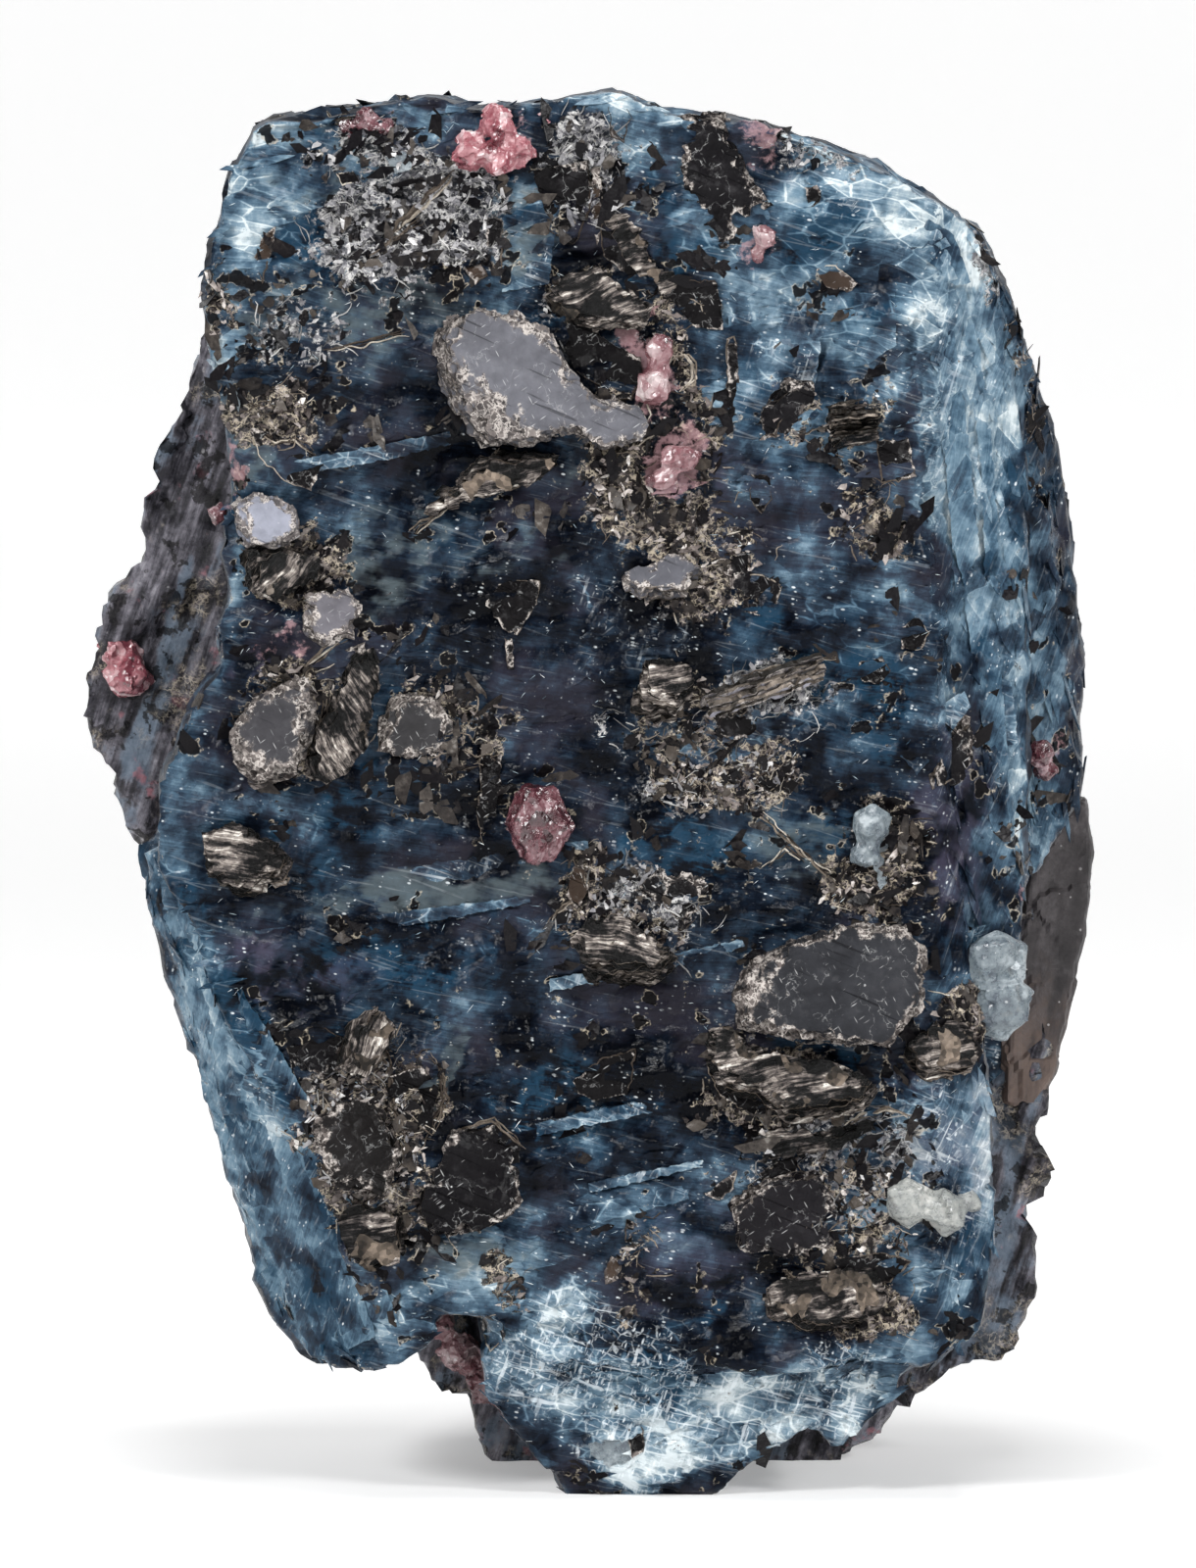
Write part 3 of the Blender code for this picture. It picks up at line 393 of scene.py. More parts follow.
# What lies where on the front, each patch as its middle in the picture, its half width, half height, turn
# in degrees and strength
patches = {
    "pale": [
        (905, 185, 90, 50, 30, 0.98), (820, 255, 120, 100, 0, 0.62), (800, 400, 110, 80, 0, 0.34),
        (850, 560, 80, 80, 0, 0.24), (320, 250, 90, 90, 0, 0.3), (290, 132, 44, 24, -8, 0.6),
        (1036, 390, 24, 120, -8, 0.6), (862, 424, 56, 42, 0, 0.75), (322, 1310, 40, 70, -20, 0.8),
        (430, 1342, 48, 38, 0, 0.8), (1015, 915, 34, 50, 0, 0.45), (258, 1190, 30, 60, -16, 0.35),
        (880, 1000, 90, 60, 0, 0.12), (985, 265, 26, 70, -20, 0.7), (985, 440, 48, 235, -10, 0.8),
        (1065, 650, 34, 120, -5, 0.5), (1010, 640, 60, 90, 0, 0.35), (545, 235, 26, 45, 8, 0.55),
        (650, 108, 75, 24, 8, 0.95), (263, 200, 36, 74, 0, 0.9), (277, 136, 16, 8, -20, 1.5),
        (225, 370, 20, 90, 0, 0.75), (225, 620, 16, 90, 10, 0.45), (240, 1165, 66, 290, -18, 0.62),
        (180, 880, 26, 50, -10, 0.28), (185, 780, 22, 60, 15, 0.25), (430, 104, 190, 9, 3, 0.6),
        (860, 150, 130, 14, 27, 0.8), (1050, 840, 40, 80, 0, 0.8), (320, 1290, 40, 110, -22, 0.35),
        (470, 1345, 70, 50, 0, 0.45), (1015, 1240, 30, 66, 0, 0.7), (570, 115, 34, 16, 0, 0.5),
        (440, 130, 60, 18, 0, 0.4), (1032, 330, 14, 50, -15, 0.4), (572, 1470, 34, 60, 0, 0.6),
        (760, 1490, 40, 40, 0, 0.5), (960, 740, 60, 80, 0, 0.14), (620, 1420, 125, 70, 12, 0.5),
        (740, 1462, 110, 50, -14, 0.92), (660, 1512, 60, 26, 0, 0.8), (868, 1440, 22, 52, 0, 0.9),
        (555, 1345, 50, 26, -8, 0.5), (905, 1395, 38, 34, 0, 0.6), (965, 1150, 52, 62, 0, 0.5),
        (1005, 1180, 18, 80, 0, 0.45), (962, 1310, 40, 34, 0, 0.8), (500, 1285, 62, 44, 0, 0.4),
        (985, 1000, 30, 60, 0, 0.4), (780, 745, 90, 30, -10, 0.25), (640, 1240, 130, 44, -8, 0.34),
        (880, 1275, 60, 60, 0, 0.36), (590, 1180, 90, 40, -8, 0.22), (905, 1170, 50, 60, 0, 0.45),
        (930, 1400, 40, 60, 0, 0.4), (880, 640, 80, 60, 0, 0.3), (640, 150, 60, 40, 0, 0.3)],
    "ice": [
        (915, 200, 62, 36, 30, 0.7), (988, 262, 18, 60, -20, 0.9), (655, 106, 60, 14, 6, 0.8),
        (775, 116, 40, 10, 20, 0.7), (277, 136, 15, 9, -20, 0.99), (258, 215, 22, 40, 0, 0.12),
        (655, 1512, 50, 16, 0, 0.4), (868, 1440, 12, 40, 0, 0.5), (1010, 1180, 8, 60, 0, 0.4),
        (1020, 720, 18, 22, 0, 0.5), (700, 220, 12, 7, 0, 0.9), (787, 266, 14, 9, 0, 0.9),
        (228, 380, 8, 60, 0, 0.5)],
    "veil": [
        (530, 240, 36, 46, 8, 0.7), (370, 320, 150, 55, -6, 0.55), (250, 440, 42, 62, 0, 0.6),
        (390, 565, 60, 60, 0, 0.6), (530, 555, 120, 30, -20, 0.4), (470, 905, 130, 22, -9, 0.8),
        (330, 925, 190, 16, -10, 0.5), (480, 1290, 75, 36, 0, 0.8), (900, 1255, 50, 34, 0, 0.5),
        (800, 850, 66, 40, 20, 0.5), (455, 1090, 18, 70, 10, 0.7), (330, 170, 60, 40, 0, 0.5),
        (430, 1230, 110, 30, -4, 0.5), (1020, 1280, 22, 90, 0, 0.5), (620, 470, 60, 40, 0, 0.4)],
    "silver": [
        (425, 225, 115, 70, -20, 1.0), (780, 712, 74, 30, -10, 0.7), (370, 150, 60, 26, 0, 0.6),
        (300, 345, 60, 36, -10, 0.6), (560, 330, 24, 40, 0, 0.5), (595, 175, 42, 60, 0, 0.8),
        (650, 925, 75, 46, 10, 0.8), (365, 1150, 80, 95, 0, 0.7), (860, 1180, 90, 62, 0, 0.7),
        (820, 150, 80, 24, 20, 0.6), (1000, 270, 16, 60, -20, 0.7), (640, 750, 60, 40, 0, 0.4),
        (730, 800, 100, 34, -10, 0.7)],
    "bronze": [
        (655, 440, 75, 150, -8, 1.0), (620, 305, 56, 36, 10, 1.0), (715, 570, 70, 62, 0, 0.75),
        (285, 425, 50, 34, 10, 0.95), (305, 590, 62, 52, 20, 0.95), (300, 730, 72, 62, -20, 0.75),
        (455, 740, 64, 50, 10, 0.6), (590, 900, 30, 40, 0, 0.9), (700, 745, 72, 70, 0, 0.6),
        (745, 800, 90, 32, -8, 0.9), (885, 900, 62, 40, 20, 0.8), (390, 1170, 105, 110, 0, 0.8),
        (790, 1115, 80, 50, -8, 0.8), (860, 1245, 90, 60, 0, 0.7), (865, 1335, 80, 36, 10, 1.0),
        (1000, 1030, 28, 40, 0, 1.0), (890, 530, 40, 40, 0, 0.7), (850, 425, 60, 40, 0, 0.6),
        (1047, 400, 9, 90, -8, 0.55), (225, 300, 12, 42, 0, 0.7), (640, 1290, 22, 58, 0, 0.6),
        (518, 1308, 24, 34, 0, 0.8), (910, 860, 40, 40, 0, 0.6), (640, 960, 60, 36, 0, 0.8)],
    # partly darker kyanite, partly painted shade in hollows near the mica books
    "dark": [
        (480, 600, 130, 60, 0, 0.7), (420, 890, 90, 40, -8, 0.7), (450, 975, 90, 30, -8, 0.6),
        (680, 620, 50, 50, 0, 0.6), (470, 435, 175, 75, -6, 0.9), (620, 650, 150, 95, -8, 0.7),
        (640, 1090, 170, 120, -8, 0.75), (590, 800, 90, 60, 0, 0.5), (700, 1330, 110, 52, -8, 0.7),
        (950, 850, 66, 110, 0, 0.65), (440, 655, 80, 50, 0, 0.8), (480, 800, 40, 60, 0, 0.9),
        (860, 1100, 120, 34, -6, 0.8), (800, 1260, 60, 60, 0, 0.8), (560, 500, 50, 30, -30, 0.9),
        (600, 220, 40, 70, 0, 0.8), (752, 236, 40, 34, 0, 0.7), (188, 950, 24, 50, -10, 0.9),
        (450, 1150, 90, 90, 0, 0.6), (290, 640, 40, 50, 0, 0.7), (330, 1010, 120, 34, -10, 0.5),
        (620, 1190, 140, 24, -8, 0.4)],
    "deep": [
        (250, 1160, 60, 280, -18, 0.9), (835, 232, 50, 46, 10, 1.0), (882, 335, 40, 32, 0, 1.0),
        (668, 210, 34, 60, 0, 0.8), (690, 268, 40, 16, 0, 1.0), (335, 255, 62, 38, -10, 0.7),
        (455, 965, 120, 50, -9, 0.6), (580, 1130, 70, 56, -8, 0.6), (225, 1120, 26, 150, -16, 0.8),
        (290, 1290, 18, 80, -18, 0.7), (650, 1420, 90, 46, 0, 0.7), (300, 860, 80, 50, -10, 0.6),
        (840, 640, 80, 40, 0, 0.6), (905, 690, 40, 40, 0, 0.6), (240, 480, 26, 50, 0, 0.5),
        (680, 860, 70, 40, 0, 0.7), (1040, 560, 26, 90, -6, 0.5)],
    "purple": [
        (960, 1190, 56, 110, 0, 0.6), (262, 985, 44, 50, 0, 0.8), (965, 850, 44, 90, 0, 0.6),
        (700, 1280, 80, 60, 0, 0.4), (800, 155, 34, 30, 0, 0.6), (800, 380, 40, 40, 0, 0.4),
        (265, 680, 40, 24, 0, 0.9), (330, 1000, 50, 26, 0, 0.5), (345, 1220, 30, 80, 0, 0.4),
        (700, 500, 40, 60, 0, 0.4)],
    "frost": [
        (610, 1400, 125, 80, 12, 1.0), (760, 1460, 130, 50, -14, 0.7), (866, 1430, 26, 60, 0, 1.0),
        (660, 1505, 70, 36, 0, 1.0), (250, 1180, 60, 230, -18, 0.35), (985, 440, 50, 230, -10, 0.45),
        (880, 190, 110, 60, 20, 0.4), (640, 620, 70, 150, 0, 0.35), (960, 1200, 60, 110, 0, 0.55),
        (290, 200, 70, 70, 0, 0.15), (780, 740, 110, 46, -8, 0.35), (1000, 760, 60, 100, 0, 0.35)],
    "bare": [
        (610, 362, 46, 46, 0, 1.0), (545, 520, 60, 30, -20, 0.9), (735, 180, 34, 60, 0, 0.8),
        (480, 1190, 50, 50, 0, 0.8), (322, 1078, 34, 34, 0, 0.8), (780, 1110, 60, 20, 0, 0.7)],
    "clean": [
        (560, 640, 120, 90, -8, 0.9), (500, 960, 170, 50, -8, 0.9), (620, 1140, 130, 80, -8, 0.9),
        (340, 870, 100, 60, 0, 0.8), (860, 620, 100, 60, 0, 0.8), (380, 440, 130, 60, -6, 0.8),
        (985, 450, 55, 240, -10, 0.9), (800, 500, 60, 60, 0, 0.5), (240, 1150, 60, 260, -18, 0.9),
        (700, 980, 60, 50, 0, 0.6)],
    "pink": [
        (655, 360, 24, 72, -14, 1.0), (688, 470, 26, 46, -10, 0.95), (640, 300, 26, 26, 0, 0.7),
        (515, 130, 60, 36, 0, 0.5), (372, 120, 50, 18, 0, 0.6), (765, 245, 20, 24, 0, 0.6),
        (778, 140, 22, 26, 0, 0.8), (1072, 780, 20, 34, 0, 0.5), (1045, 915, 20, 22, 0, 0.8),
        (233, 455, 16, 30, 0, 0.9), (245, 500, 10, 20, 0, 0.6), (290, 660, 26, 22, 0, 0.7)],
}
# masks that the kyanite's finish reads, and those that only say where flakes lie
readMasks = (*patches, "flank", "cluster", "facing")
placingMasks = ("flankSide", "glassy", "sparkle")


# so that the patch borders wander the same way in each run
noise.seed_set(7)


def warpedFront(points):
    # patch borders wander, so the places are shifted a little by noise
    shifted = points[:, [0, 2]].copy()
    for index, place in enumerate(points):
        at = Vector(place)
        broad = noise.noise_vector(at / 1.9)
        fine = noise.noise_vector(at / 0.55 + Vector((9, 2, 5)))
        shifted[index, 0] += 0.75 * broad.x + 0.32 * fine.x
        shifted[index, 1] += 0.75 * broad.z + 0.32 * fine.z
    return shifted


def patchMask(shifted, facing, kind):
    clearness = np.ones(len(shifted))
    scale = picture["mmPerPoint"]
    for px, py, halfWidth, halfHeight, turn, strength in patches[kind]:
        angle = math.radians(-turn)
        away = shifted - onFace(px, py)
        run = away[:, 0] * math.cos(angle) + away[:, 1] * math.sin(angle)
        across = away[:, 1] * math.cos(angle) - away[:, 0] * math.sin(angle)
        far = np.hypot(run / (halfWidth * scale), across / (halfHeight * scale))
        inside = np.clip((1.25 - far) / 0.6, 0, 1)
        clearness *= 1 - np.minimum(strength, 0.999) * inside * inside * (3 - 2 * inside)
    return (1 - clearness) * facing


def along(x, z, angle):
    turn = math.radians(angle)
    return x * math.cos(turn) + z * math.sin(turn), z * math.cos(turn) - x * math.sin(turn)


def swell(x, z):
    total = 0.0
    for centreX, centreZ, halfWidth, halfHeight, height in swells:
        far = math.hypot((x - centreX) / halfWidth, (z - centreZ) / halfHeight)
        if far < 1:
            total += height * (1 - far * far) ** 2
    return total


def lathSteps(x, z, angle, seed):
    # long flat laths, each at its own level
    run, across = along(x, z, angle)
    broad = noise.noise(Vector((run / 8.0, across / 1.5, seed)))
    narrow = noise.noise(Vector((run / 4.0, across / 0.7, seed)))
    return stone["lath"] * round(broad * 4) + stone["fineLath"] * round(narrow * 3)


def hairLaths(x, z, angle, seed):
    # finer laths that the CAD leaves out
    run, across = along(x, z, angle)
    fine = noise.noise(Vector((run / 2.6, across / 0.3, seed)))
    hair = noise.noise(Vector((run / 1.7, across / 0.15, seed + 4)))
    return 0.035 * round(fine * 4) + 0.018 * round(hair * 3)


def brokenFacets(point, size, seed):
    # each cell is a small flat break with its own tilt
    place = point / size + Vector((seed, 0.7 * seed, 1.3 * seed))
    centre = noise.voronoi(place)[1][0]
    away = place - centre
    return noise.cell(centre * 7.3) * (away.x + away.y) + noise.cell(centre * 5.1) * away.z


def flankShare(point):
    rightFlank = (point.x - 8.0) / 1.5
    leftFlank = (-point.x - 0.4 * point.z - 5.5) / 1.5
    return min(1.0, max(0.0, rightFlank, leftFlank))


def kyaniteRelief(point, normal, crust, frost):
    x, _, z = point
    facing = max(0.0, -normal.y)
    flank = flankShare(point)
    trace, fibre = stone["traceAngle"], stone["fibreAngle"]
    laths = lathSteps(x, z, trace, 3.0) * (1 - flank) + lathSteps(x, z, fibre, 17.0) * flank
    hairs = hairLaths(x, z, trace, 5.0) * (1 - flank) + hairLaths(x, z, fibre, 21.0) * flank
    height = facing * (laths + swell(x, z) + hairs * (1 - 0.6 * crust))
    height += 0.22 * brokenFacets(point, 2.2, 4.0) + 0.1 * noise.noise(point / 0.9)
    height += 0.06 * brokenFacets(point, 0.85, 9.0)
    height += crust * (0.24 * brokenFacets(point, 0.55, 31.0) - 0.2 * abs(noise.noise(point / 0.42)))
    run, across = along(x, z, trace)
    blocks = noise.cell(Vector((run / 0.8, across / 0.42, 2.0)))
    return height + frost * facing * 0.1 * blocks + 0.03 * noise.noise(point / 0.24)


def schistRelief(point, normal, crust, frost):
    run, across = along(point.x, point.z, stone["fibreAngle"])
    layer = noise.noise(Vector((across / 0.8, run / 5.0, point.y / 1.1)))
    height = 0.3 * layer + 0.55 * noise.noise(point / 3.4) + 0.5 * brokenFacets(point, 2.6, 12.0)
    sheets = noise.noise(Vector((across / 0.22, run / 2.4, point.y / 0.5)))
    return height + 0.12 * sheets + 0.16 * brokenFacets(point, 0.9, 7.0) + 0.04 * noise.noise(point / 0.3)


def addPrism(bm, front, behind):
    front = [bm.verts.new(point * mm) for point in front]
    behind = [bm.verts.new(point * mm) for point in behind]
    bm.faces.new(front)
    bm.faces.new(behind[::-1])
    for index in range(len(front)):
        after = (index + 1) % len(front)
        bm.faces.new((front[after], front[index], behind[index], behind[after]))


def bladeBlock(blades, backDepth):
    bm = bmesh.new()
    for blade in blades.values():
        pivotX, pivotZ = blade["pivot"]
        fallsX, fallsZ = blade["falls"]
        taper = blade.get("taper", 0.0)
        front = []
        behind = []
        for x, z in blade["outline"]:
            beyond = fallsX * (x - pivotX) + fallsZ * (z - pivotZ)
            depth = blade["depth"] + blade["slope"] * max(0.0, beyond)
            front.append(Vector((x, min(depth, backDepth - 1), z)))
            low = z - taper * max(0.0, z - pivotZ)
            behind.append(Vector((x - taper * (x - pivotX), backDepth, low)))
        addPrism(bm, front, behind)
    bmesh.ops.recalc_face_normals(bm, faces=bm.faces)
    return meshOf("blades", bm)


def grownBlock(blades, backDepth):
    # the blades of one mass, grown together on an even grid and cut level at the foot
    mesh = evened(bladeBlock(blades, backDepth), stone["coarseVoxel"])
    bm = bmesh.new()
    bm.from_mesh(mesh)
    everything = bm.verts[:] + bm.edges[:] + bm.faces[:]
    bmesh.ops.bisect_plane(bm, geom=everything, plane_co=(0, 0, 0), plane_no=(0, 0, 1), clear_inner=True)
    bmesh.ops.holes_fill(bm, edges=[edge for edge in bm.edges if edge.is_boundary], sides=0)
    bm.normal_update()
    return bm, mesh


def refineFront(bm, towards):
    # a dictionary keeps the order of the edges, so that each run gives the same mesh
    chosen = dict.fromkeys(edge for face in bm.faces if face.normal.y < towards for edge in face.edges)
    bmesh.ops.subdivide_edges(bm, edges=list(chosen), cuts=1, use_grid_fill=True)
    bmesh.ops.triangulate(bm, faces=[face for face in bm.faces if len(face.verts) > 4])


def roughened(name, bm, mesh, relief, finish):
    # moves the points by the relief and writes what lies where
    bm.to_mesh(mesh)
    bm.free()
    points = pointsOf(mesh)
    places = [Vector(point) for point in points]
    normals = [vert.normal.copy() for vert in mesh.vertices]
    facing = np.array([max(0.0, min(1.0, 0.25 - 2.0 * normal.y)) for normal in normals])
    flank = np.array([flankShare(place) for place in places])
    shifted = warpedFront(points)
    masks = {kind: patchMask(shifted, facing, kind) for kind in patches}
    for kind in ("silver", "bronze"):
        masks[kind] *= (1 - masks["bare"]) * (1 - 0.75 * masks["pink"])
    crust = np.maximum(masks["silver"], masks["bronze"])
    lumps = np.array([noise.fractal(place / 2.1, 0.8, 2.0, 4) for place in places])
    rows = np.array([noise.noise(Vector((x / 0.42, y, z / 2.2))) + 0.6 * noise.noise(Vector((x, y, z)) / 1.7)
                     for x, y, z in points])
    masks["facing"] = facing
    masks["flank"] = flank
    masks["flankSide"] = flank * facing
    spared = 0.4 * masks["clean"] + 0.6 * masks["frost"]
    masks["cluster"] = np.clip(0.35 + 1.3 * lumps + 0.5 * crust - spared, 0, 1) * (0.55 + 0.45 * facing)
    masks["glassy"] = facing * (1 - crust) * (1 - masks["flankSide"])
    masks["sparkle"] = np.clip(rows * 2.6 - 0.35, 0, 1) * facing
    moved = []
    for place, normal, crushed, frost in zip(places, normals, crust, masks["frost"]):
        point = place + normal * relief(place, normal, crushed, frost)
        point.z = max(0.0, point.z) if place.z > 0.001 else 0.0
        moved.append(point)
    movePoints(mesh, np.array(moved, np.float32))
    for kind, values in masks.items():
        setMask(mesh, kind, values)
    for face in mesh.polygons:
        face.use_smooth = True
    mesh.update()
    return meshObject(name, mesh, finish)


# Kyanite finish: one ramp from black through navy to white, driven by what lies where and by soft haze, with
# painted shade in part of its dark patches; over it crisp dashes along the cleavage as painted glints, fine lines,
# black spots and crushed mica
kyaniteLook = {
    "shades": [
        (0.0, (0.0012, 0.0016, 0.003)), (0.2, (0.004, 0.0066, 0.0125)), (0.4, (0.015, 0.028, 0.047)),
        (0.58, (0.052, 0.093, 0.136)), (0.75, (0.14, 0.212, 0.27)), (0.88, (0.29, 0.36, 0.4)),
        (1.0, (0.56, 0.62, 0.64))],
    "base": 0.302, "pale": 0.41, "dark": -0.185, "haze": 1.1, "patchy": 0.7, "streak": 0.24, "grain": 0.46,
    "piece": 0.15, "crack": 0.22, "ice": 0.28, "hair": 0.24, "deepBlue": (0.009, 0.036, 0.068),
    "violet": (0.034, 0.031, 0.044), "veil": (0.07, 0.089, 0.097), "purple": (0.062, 0.052, 0.082),
    "white": (0.82, 0.87, 0.9), "garnetDust": (0.13, 0.03, 0.042), "spot": (0.0035, 0.003, 0.0033),
    "cream": (0.5, 0.43, 0.33), "silver": (0.6, 0.59, 0.57), "frost": 0.13, "veiled": 0.14,
    "teal": (0.085, 0.158, 0.22), "palePink": (0.5, 0.34, 0.35),
}
crustShades = {
    "silver": [
        (0.0, (0.003, 0.003, 0.004)), (0.26, (0.014, 0.014, 0.016)), (0.42, (0.11, 0.109, 0.12)),
        (0.6, (0.23, 0.226, 0.238)), (0.8, (0.42, 0.41, 0.41)), (0.96, (0.88, 0.87, 0.86))],
    "bronze": [
        (0.0, (0.003, 0.003, 0.003)), (0.34, (0.01, 0.008, 0.008)), (0.48, (0.066, 0.055, 0.052)),
        (0.63, (0.175, 0.148, 0.138)), (0.79, (0.41, 0.365, 0.34)), (0.94, (0.92, 0.88, 0.84))],
}


def crustColours(finish, *kinds):
    # crushed mica: black and brown between thin crinkled cream or silver sheet edges
    grit = finish.cloud(3.2, 4.0, 0.65)
    value = finish.chance("Red", 6.5) * 0.35 + finish.between(grit, 0.3, 0.75) * 0.5
    edges = finish.filaments(1.6, 0.022) | finish.filaments(4.4, 0.05, 2.0) * 0.75
    thread = edges * finish.between(grit, 0.36, 0.58) * 0.9
    edgeColours = {"bronze": kyaniteLook["cream"], "silver": kyaniteLook["silver"]}
    return [finish.mix(thread, finish.ramp(value, crustShades[kind]), edgeColours[kind]) for kind in kinds]


def makeKyaniteFinish():
    look = kyaniteLook
    finish = Finish("blueKyanite")
    masks = {kind: finish.mask(kind) for kind in readMasks}
    pale, frost, deep, dark = [masks[kind] for kind in ("pale", "frost", "deep", "dark")]
    trace, fibre = -stone["traceAngle"], -stone["fibreAngle"]
    bend = finish.vector("SUBTRACT", finish.cloud(0.25, 1.0, 0.5, result="Color"), (0.5, 0.5, 0.5))
    bent = finish.vector("ADD", finish.place, finish.vector("MULTIPLY", bend, (1.2, 1.2, 1.2)))
    grain = finish.cloud(3.4, 4.0, 0.7)
    side = finish.math("GREATER_THAN", masks["flank"] + (grain - 0.5) * 0.8, 0.45)

    def running(alongSize, acrossSize, deepSize, turn=0.0, place=bent):
        # along the laths on the face, along the fibres on the flanks, a little bent
        return finish.mixVector(side, finish.lengthwise(trace + turn, alongSize, acrossSize, deepSize, place),
                                finish.lengthwise(fibre + turn, alongSize, acrossSize, deepSize, place))

    streak = finish.cloud(1.0, 3.0, 0.65, running(4.5, 0.26, 0.8))
    haze = finish.cloud(0.62, 2.0, 0.45)
    patchy = finish.cloud(1.5, 2.5, 0.5)
    tint = finish.cloud(0.36, 3.0, 0.5)
    light = (haze - 0.5) * look["haze"] + (patchy - 0.5) * look["patchy"] + (streak - 0.5) * look["streak"]
    light = light + (grain - 0.5) * look["grain"] + look["base"]
    # the dark patches darken the colour: partly darker kyanite, partly painted shade in hollows near the mica books
    light = light + pale * look["pale"] + dark * look["dark"] + frost * look["frost"]
    light = light + masks["veil"] * look["veiled"] + masks["ice"] * look["ice"]
    # the mass is made of small cleaved pieces, each with its own depth of colour and a light border
    pieces = running(1.05, 0.5, 0.9)
    cracked = 1 - finish.between(finish.cellBorder(pieces), 0.008, 0.06)
    light = light + (finish.chance("Blue", 1.0, pieces) - 0.5) * look["piece"] * (pale * 1.6 + 0.5)
    cracks = finish.between(frost + pale * 0.6 + deep * 0.6 + (patchy - 0.5) * 2, 0.25, 0.8)
    light = light + cracked * (cracks * (1 - masks["flank"] * 0.8)) * look["crack"]
    # fine lines along the laths all over
    hairs = finish.cloud(1.0, 1.0, 0.6, running(2.4, 0.055, 0.4))
    light = light + (hairs - 0.5) * look["hair"]
    finish.colour = finish.ramp(light, look["shades"])
    dim = 1 - finish.between(light, 0.4, 0.7)
    blue = finish.between(deep * 0.8 + (tint - 0.5) * 3 + (patchy - 0.5) * 0.8, 0.25, 0.75)
    finish.cover(blue * dim * finish.between(light, 0.12, 0.34) * 0.8, look["deepBlue"])
    finish.cover(deep * finish.between(light, 0.42, 0.7) * 0.45, look["teal"])
    violet = finish.between(0.5 - tint + (haze - 0.5) * 0.4, 0.02, 0.14)
    finish.cover(violet * dim * (1 - pale) * 0.4, look["violet"])
    finish.cover(masks["purple"] * finish.between(haze + patchy, 0.9, 1.15) * 0.75, look["purple"])
    veil = finish.between(masks["veil"] * 0.8 + (patchy - 0.5) * 1.4 + (streak - 0.5) * 0.9, 0.3, 0.8)
    finish.cover(veil * 0.8, look["veil"])
    # painted glints: crisp white dashes along the cleavage, gathered in upright rows; crossing ones on the frosted
    # parts; fine powder specks
    rows = finish.cloud(1.0, 2.0, 0.5, running(0.3, 1.7, 0.6))
    busy = (rows - 0.5) * 4.6 + (patchy - 0.5) * 2.2 + frost * 0.35 + pale * 0.15
    dashGlints = finish.specks(1.0, 0.32, 0.6, running(0.2, 0.1, 0.25, 0.0, None))
    dashGlints = dashGlints * finish.between(busy, 0.24, 0.86)
    crossingGlints = finish.specks(1.0, 0.34, 0.7, running(0.34, 0.09, 0.25, 82, None))
    crossingGlints = crossingGlints * finish.between(frost + (grain - 0.5) * 2 + (patchy - 0.5), 0.35, 0.9)
    powderGlints = finish.specks(8.0, 0.16, 0.3) * finish.between(haze + patchy + grain, 1.4, 1.95)
    frosted = finish.between(frost + (patchy - 0.5) * 1.2, 0.3, 0.85)

    def scratches(turn, long, wide, low, high):
        # long straight lines, each a peak of a drawn-out noise
        return finish.between(finish.cloud(1.0, 1.0, 0.5, running(long, wide, 0.5, turn, None)), low, high)

    lines = (scratches(0, 6.0, 0.1, 0.66, 0.72) | scratches(-9, 5.0, 0.12, 0.67, 0.73)) * (frosted * 0.45 + 0.07)
    upright = scratches(84, 1.6, 0.14, 0.64, 0.7) * frosted * 0.5
    lines = (lines | upright) * finish.between(light, 0.1, 0.4)
    blocks = finish.cellBorder(running(0.6, 0.34, 0.5, -16), 0.55)
    blockNet = (1 - finish.between(blocks, 0.01, 0.06)) * finish.between(grain, 0.36, 0.6)
    # the painted glints and the real white lines and block borders share one near-white colour
    glintsAndLines = (dashGlints * 0.72 | crossingGlints * 0.7) | (powderGlints * 0.5 | lines)
    finish.cover(glintsAndLines | blockNet * frosted * 0.36, look["white"])
    # mica: black spots with thin cream borders, and crushed areas
    blot = finish.cloud(1.15, 3.0, 0.55) + (masks["cluster"] - 0.62) * 0.17 - pale * 0.08 - masks["clean"] * 0.09
    spot = finish.between(blot, 0.6, 0.622)
    fringe = finish.between(blot, 0.575, 0.6) * (1 - spot) * finish.between(grain, 0.45, 0.62)
    finish.cover(fringe * 0.7, look["cream"])
    finish.cover(spot * 0.96, look["spot"])
    silver, bronze = [finish.between(masks[kind] + (grain - 0.5) * 2.2 + (patchy - 0.5) * 1.8, 0.55, 0.7)
                      for kind in ("silver", "bronze")]
    silverCrust, bronzeCrust = crustColours(finish, "silver", "bronze")
    finish.cover(silver * 0.92, silverCrust)
    finish.cover(bronze * 0.92, bronzeCrust)
    pinkDust = finish.between(masks["pink"] + (patchy - 0.5) * 1.4 + (grain - 0.5) * 1.6, 0.62, 0.95)
    finish.cover(pinkDust * 0.65, finish.mix(grain, look["garnetDust"], look["palePink"]))
    # the fine breaks are rougher where mica is crushed; the height stays simple, because it is worked out often
    broken = (masks["silver"] | masks["bronze"]) * 0.75 + 0.16
    height = finish.tiltedCells(1.0, pieces) * 0.1 + finish.tiltedCells(4.6) * broken + grain * 0.03
    rough = finish.between(streak + grain * 0.5, 0.5, 1.0) * 0.14 + 0.08 + (silver | bronze) * 0.1
    return finish.setOver(height, 0.9, rough=rough + (1 - masks["facing"]) * 0.3, level=0.065)


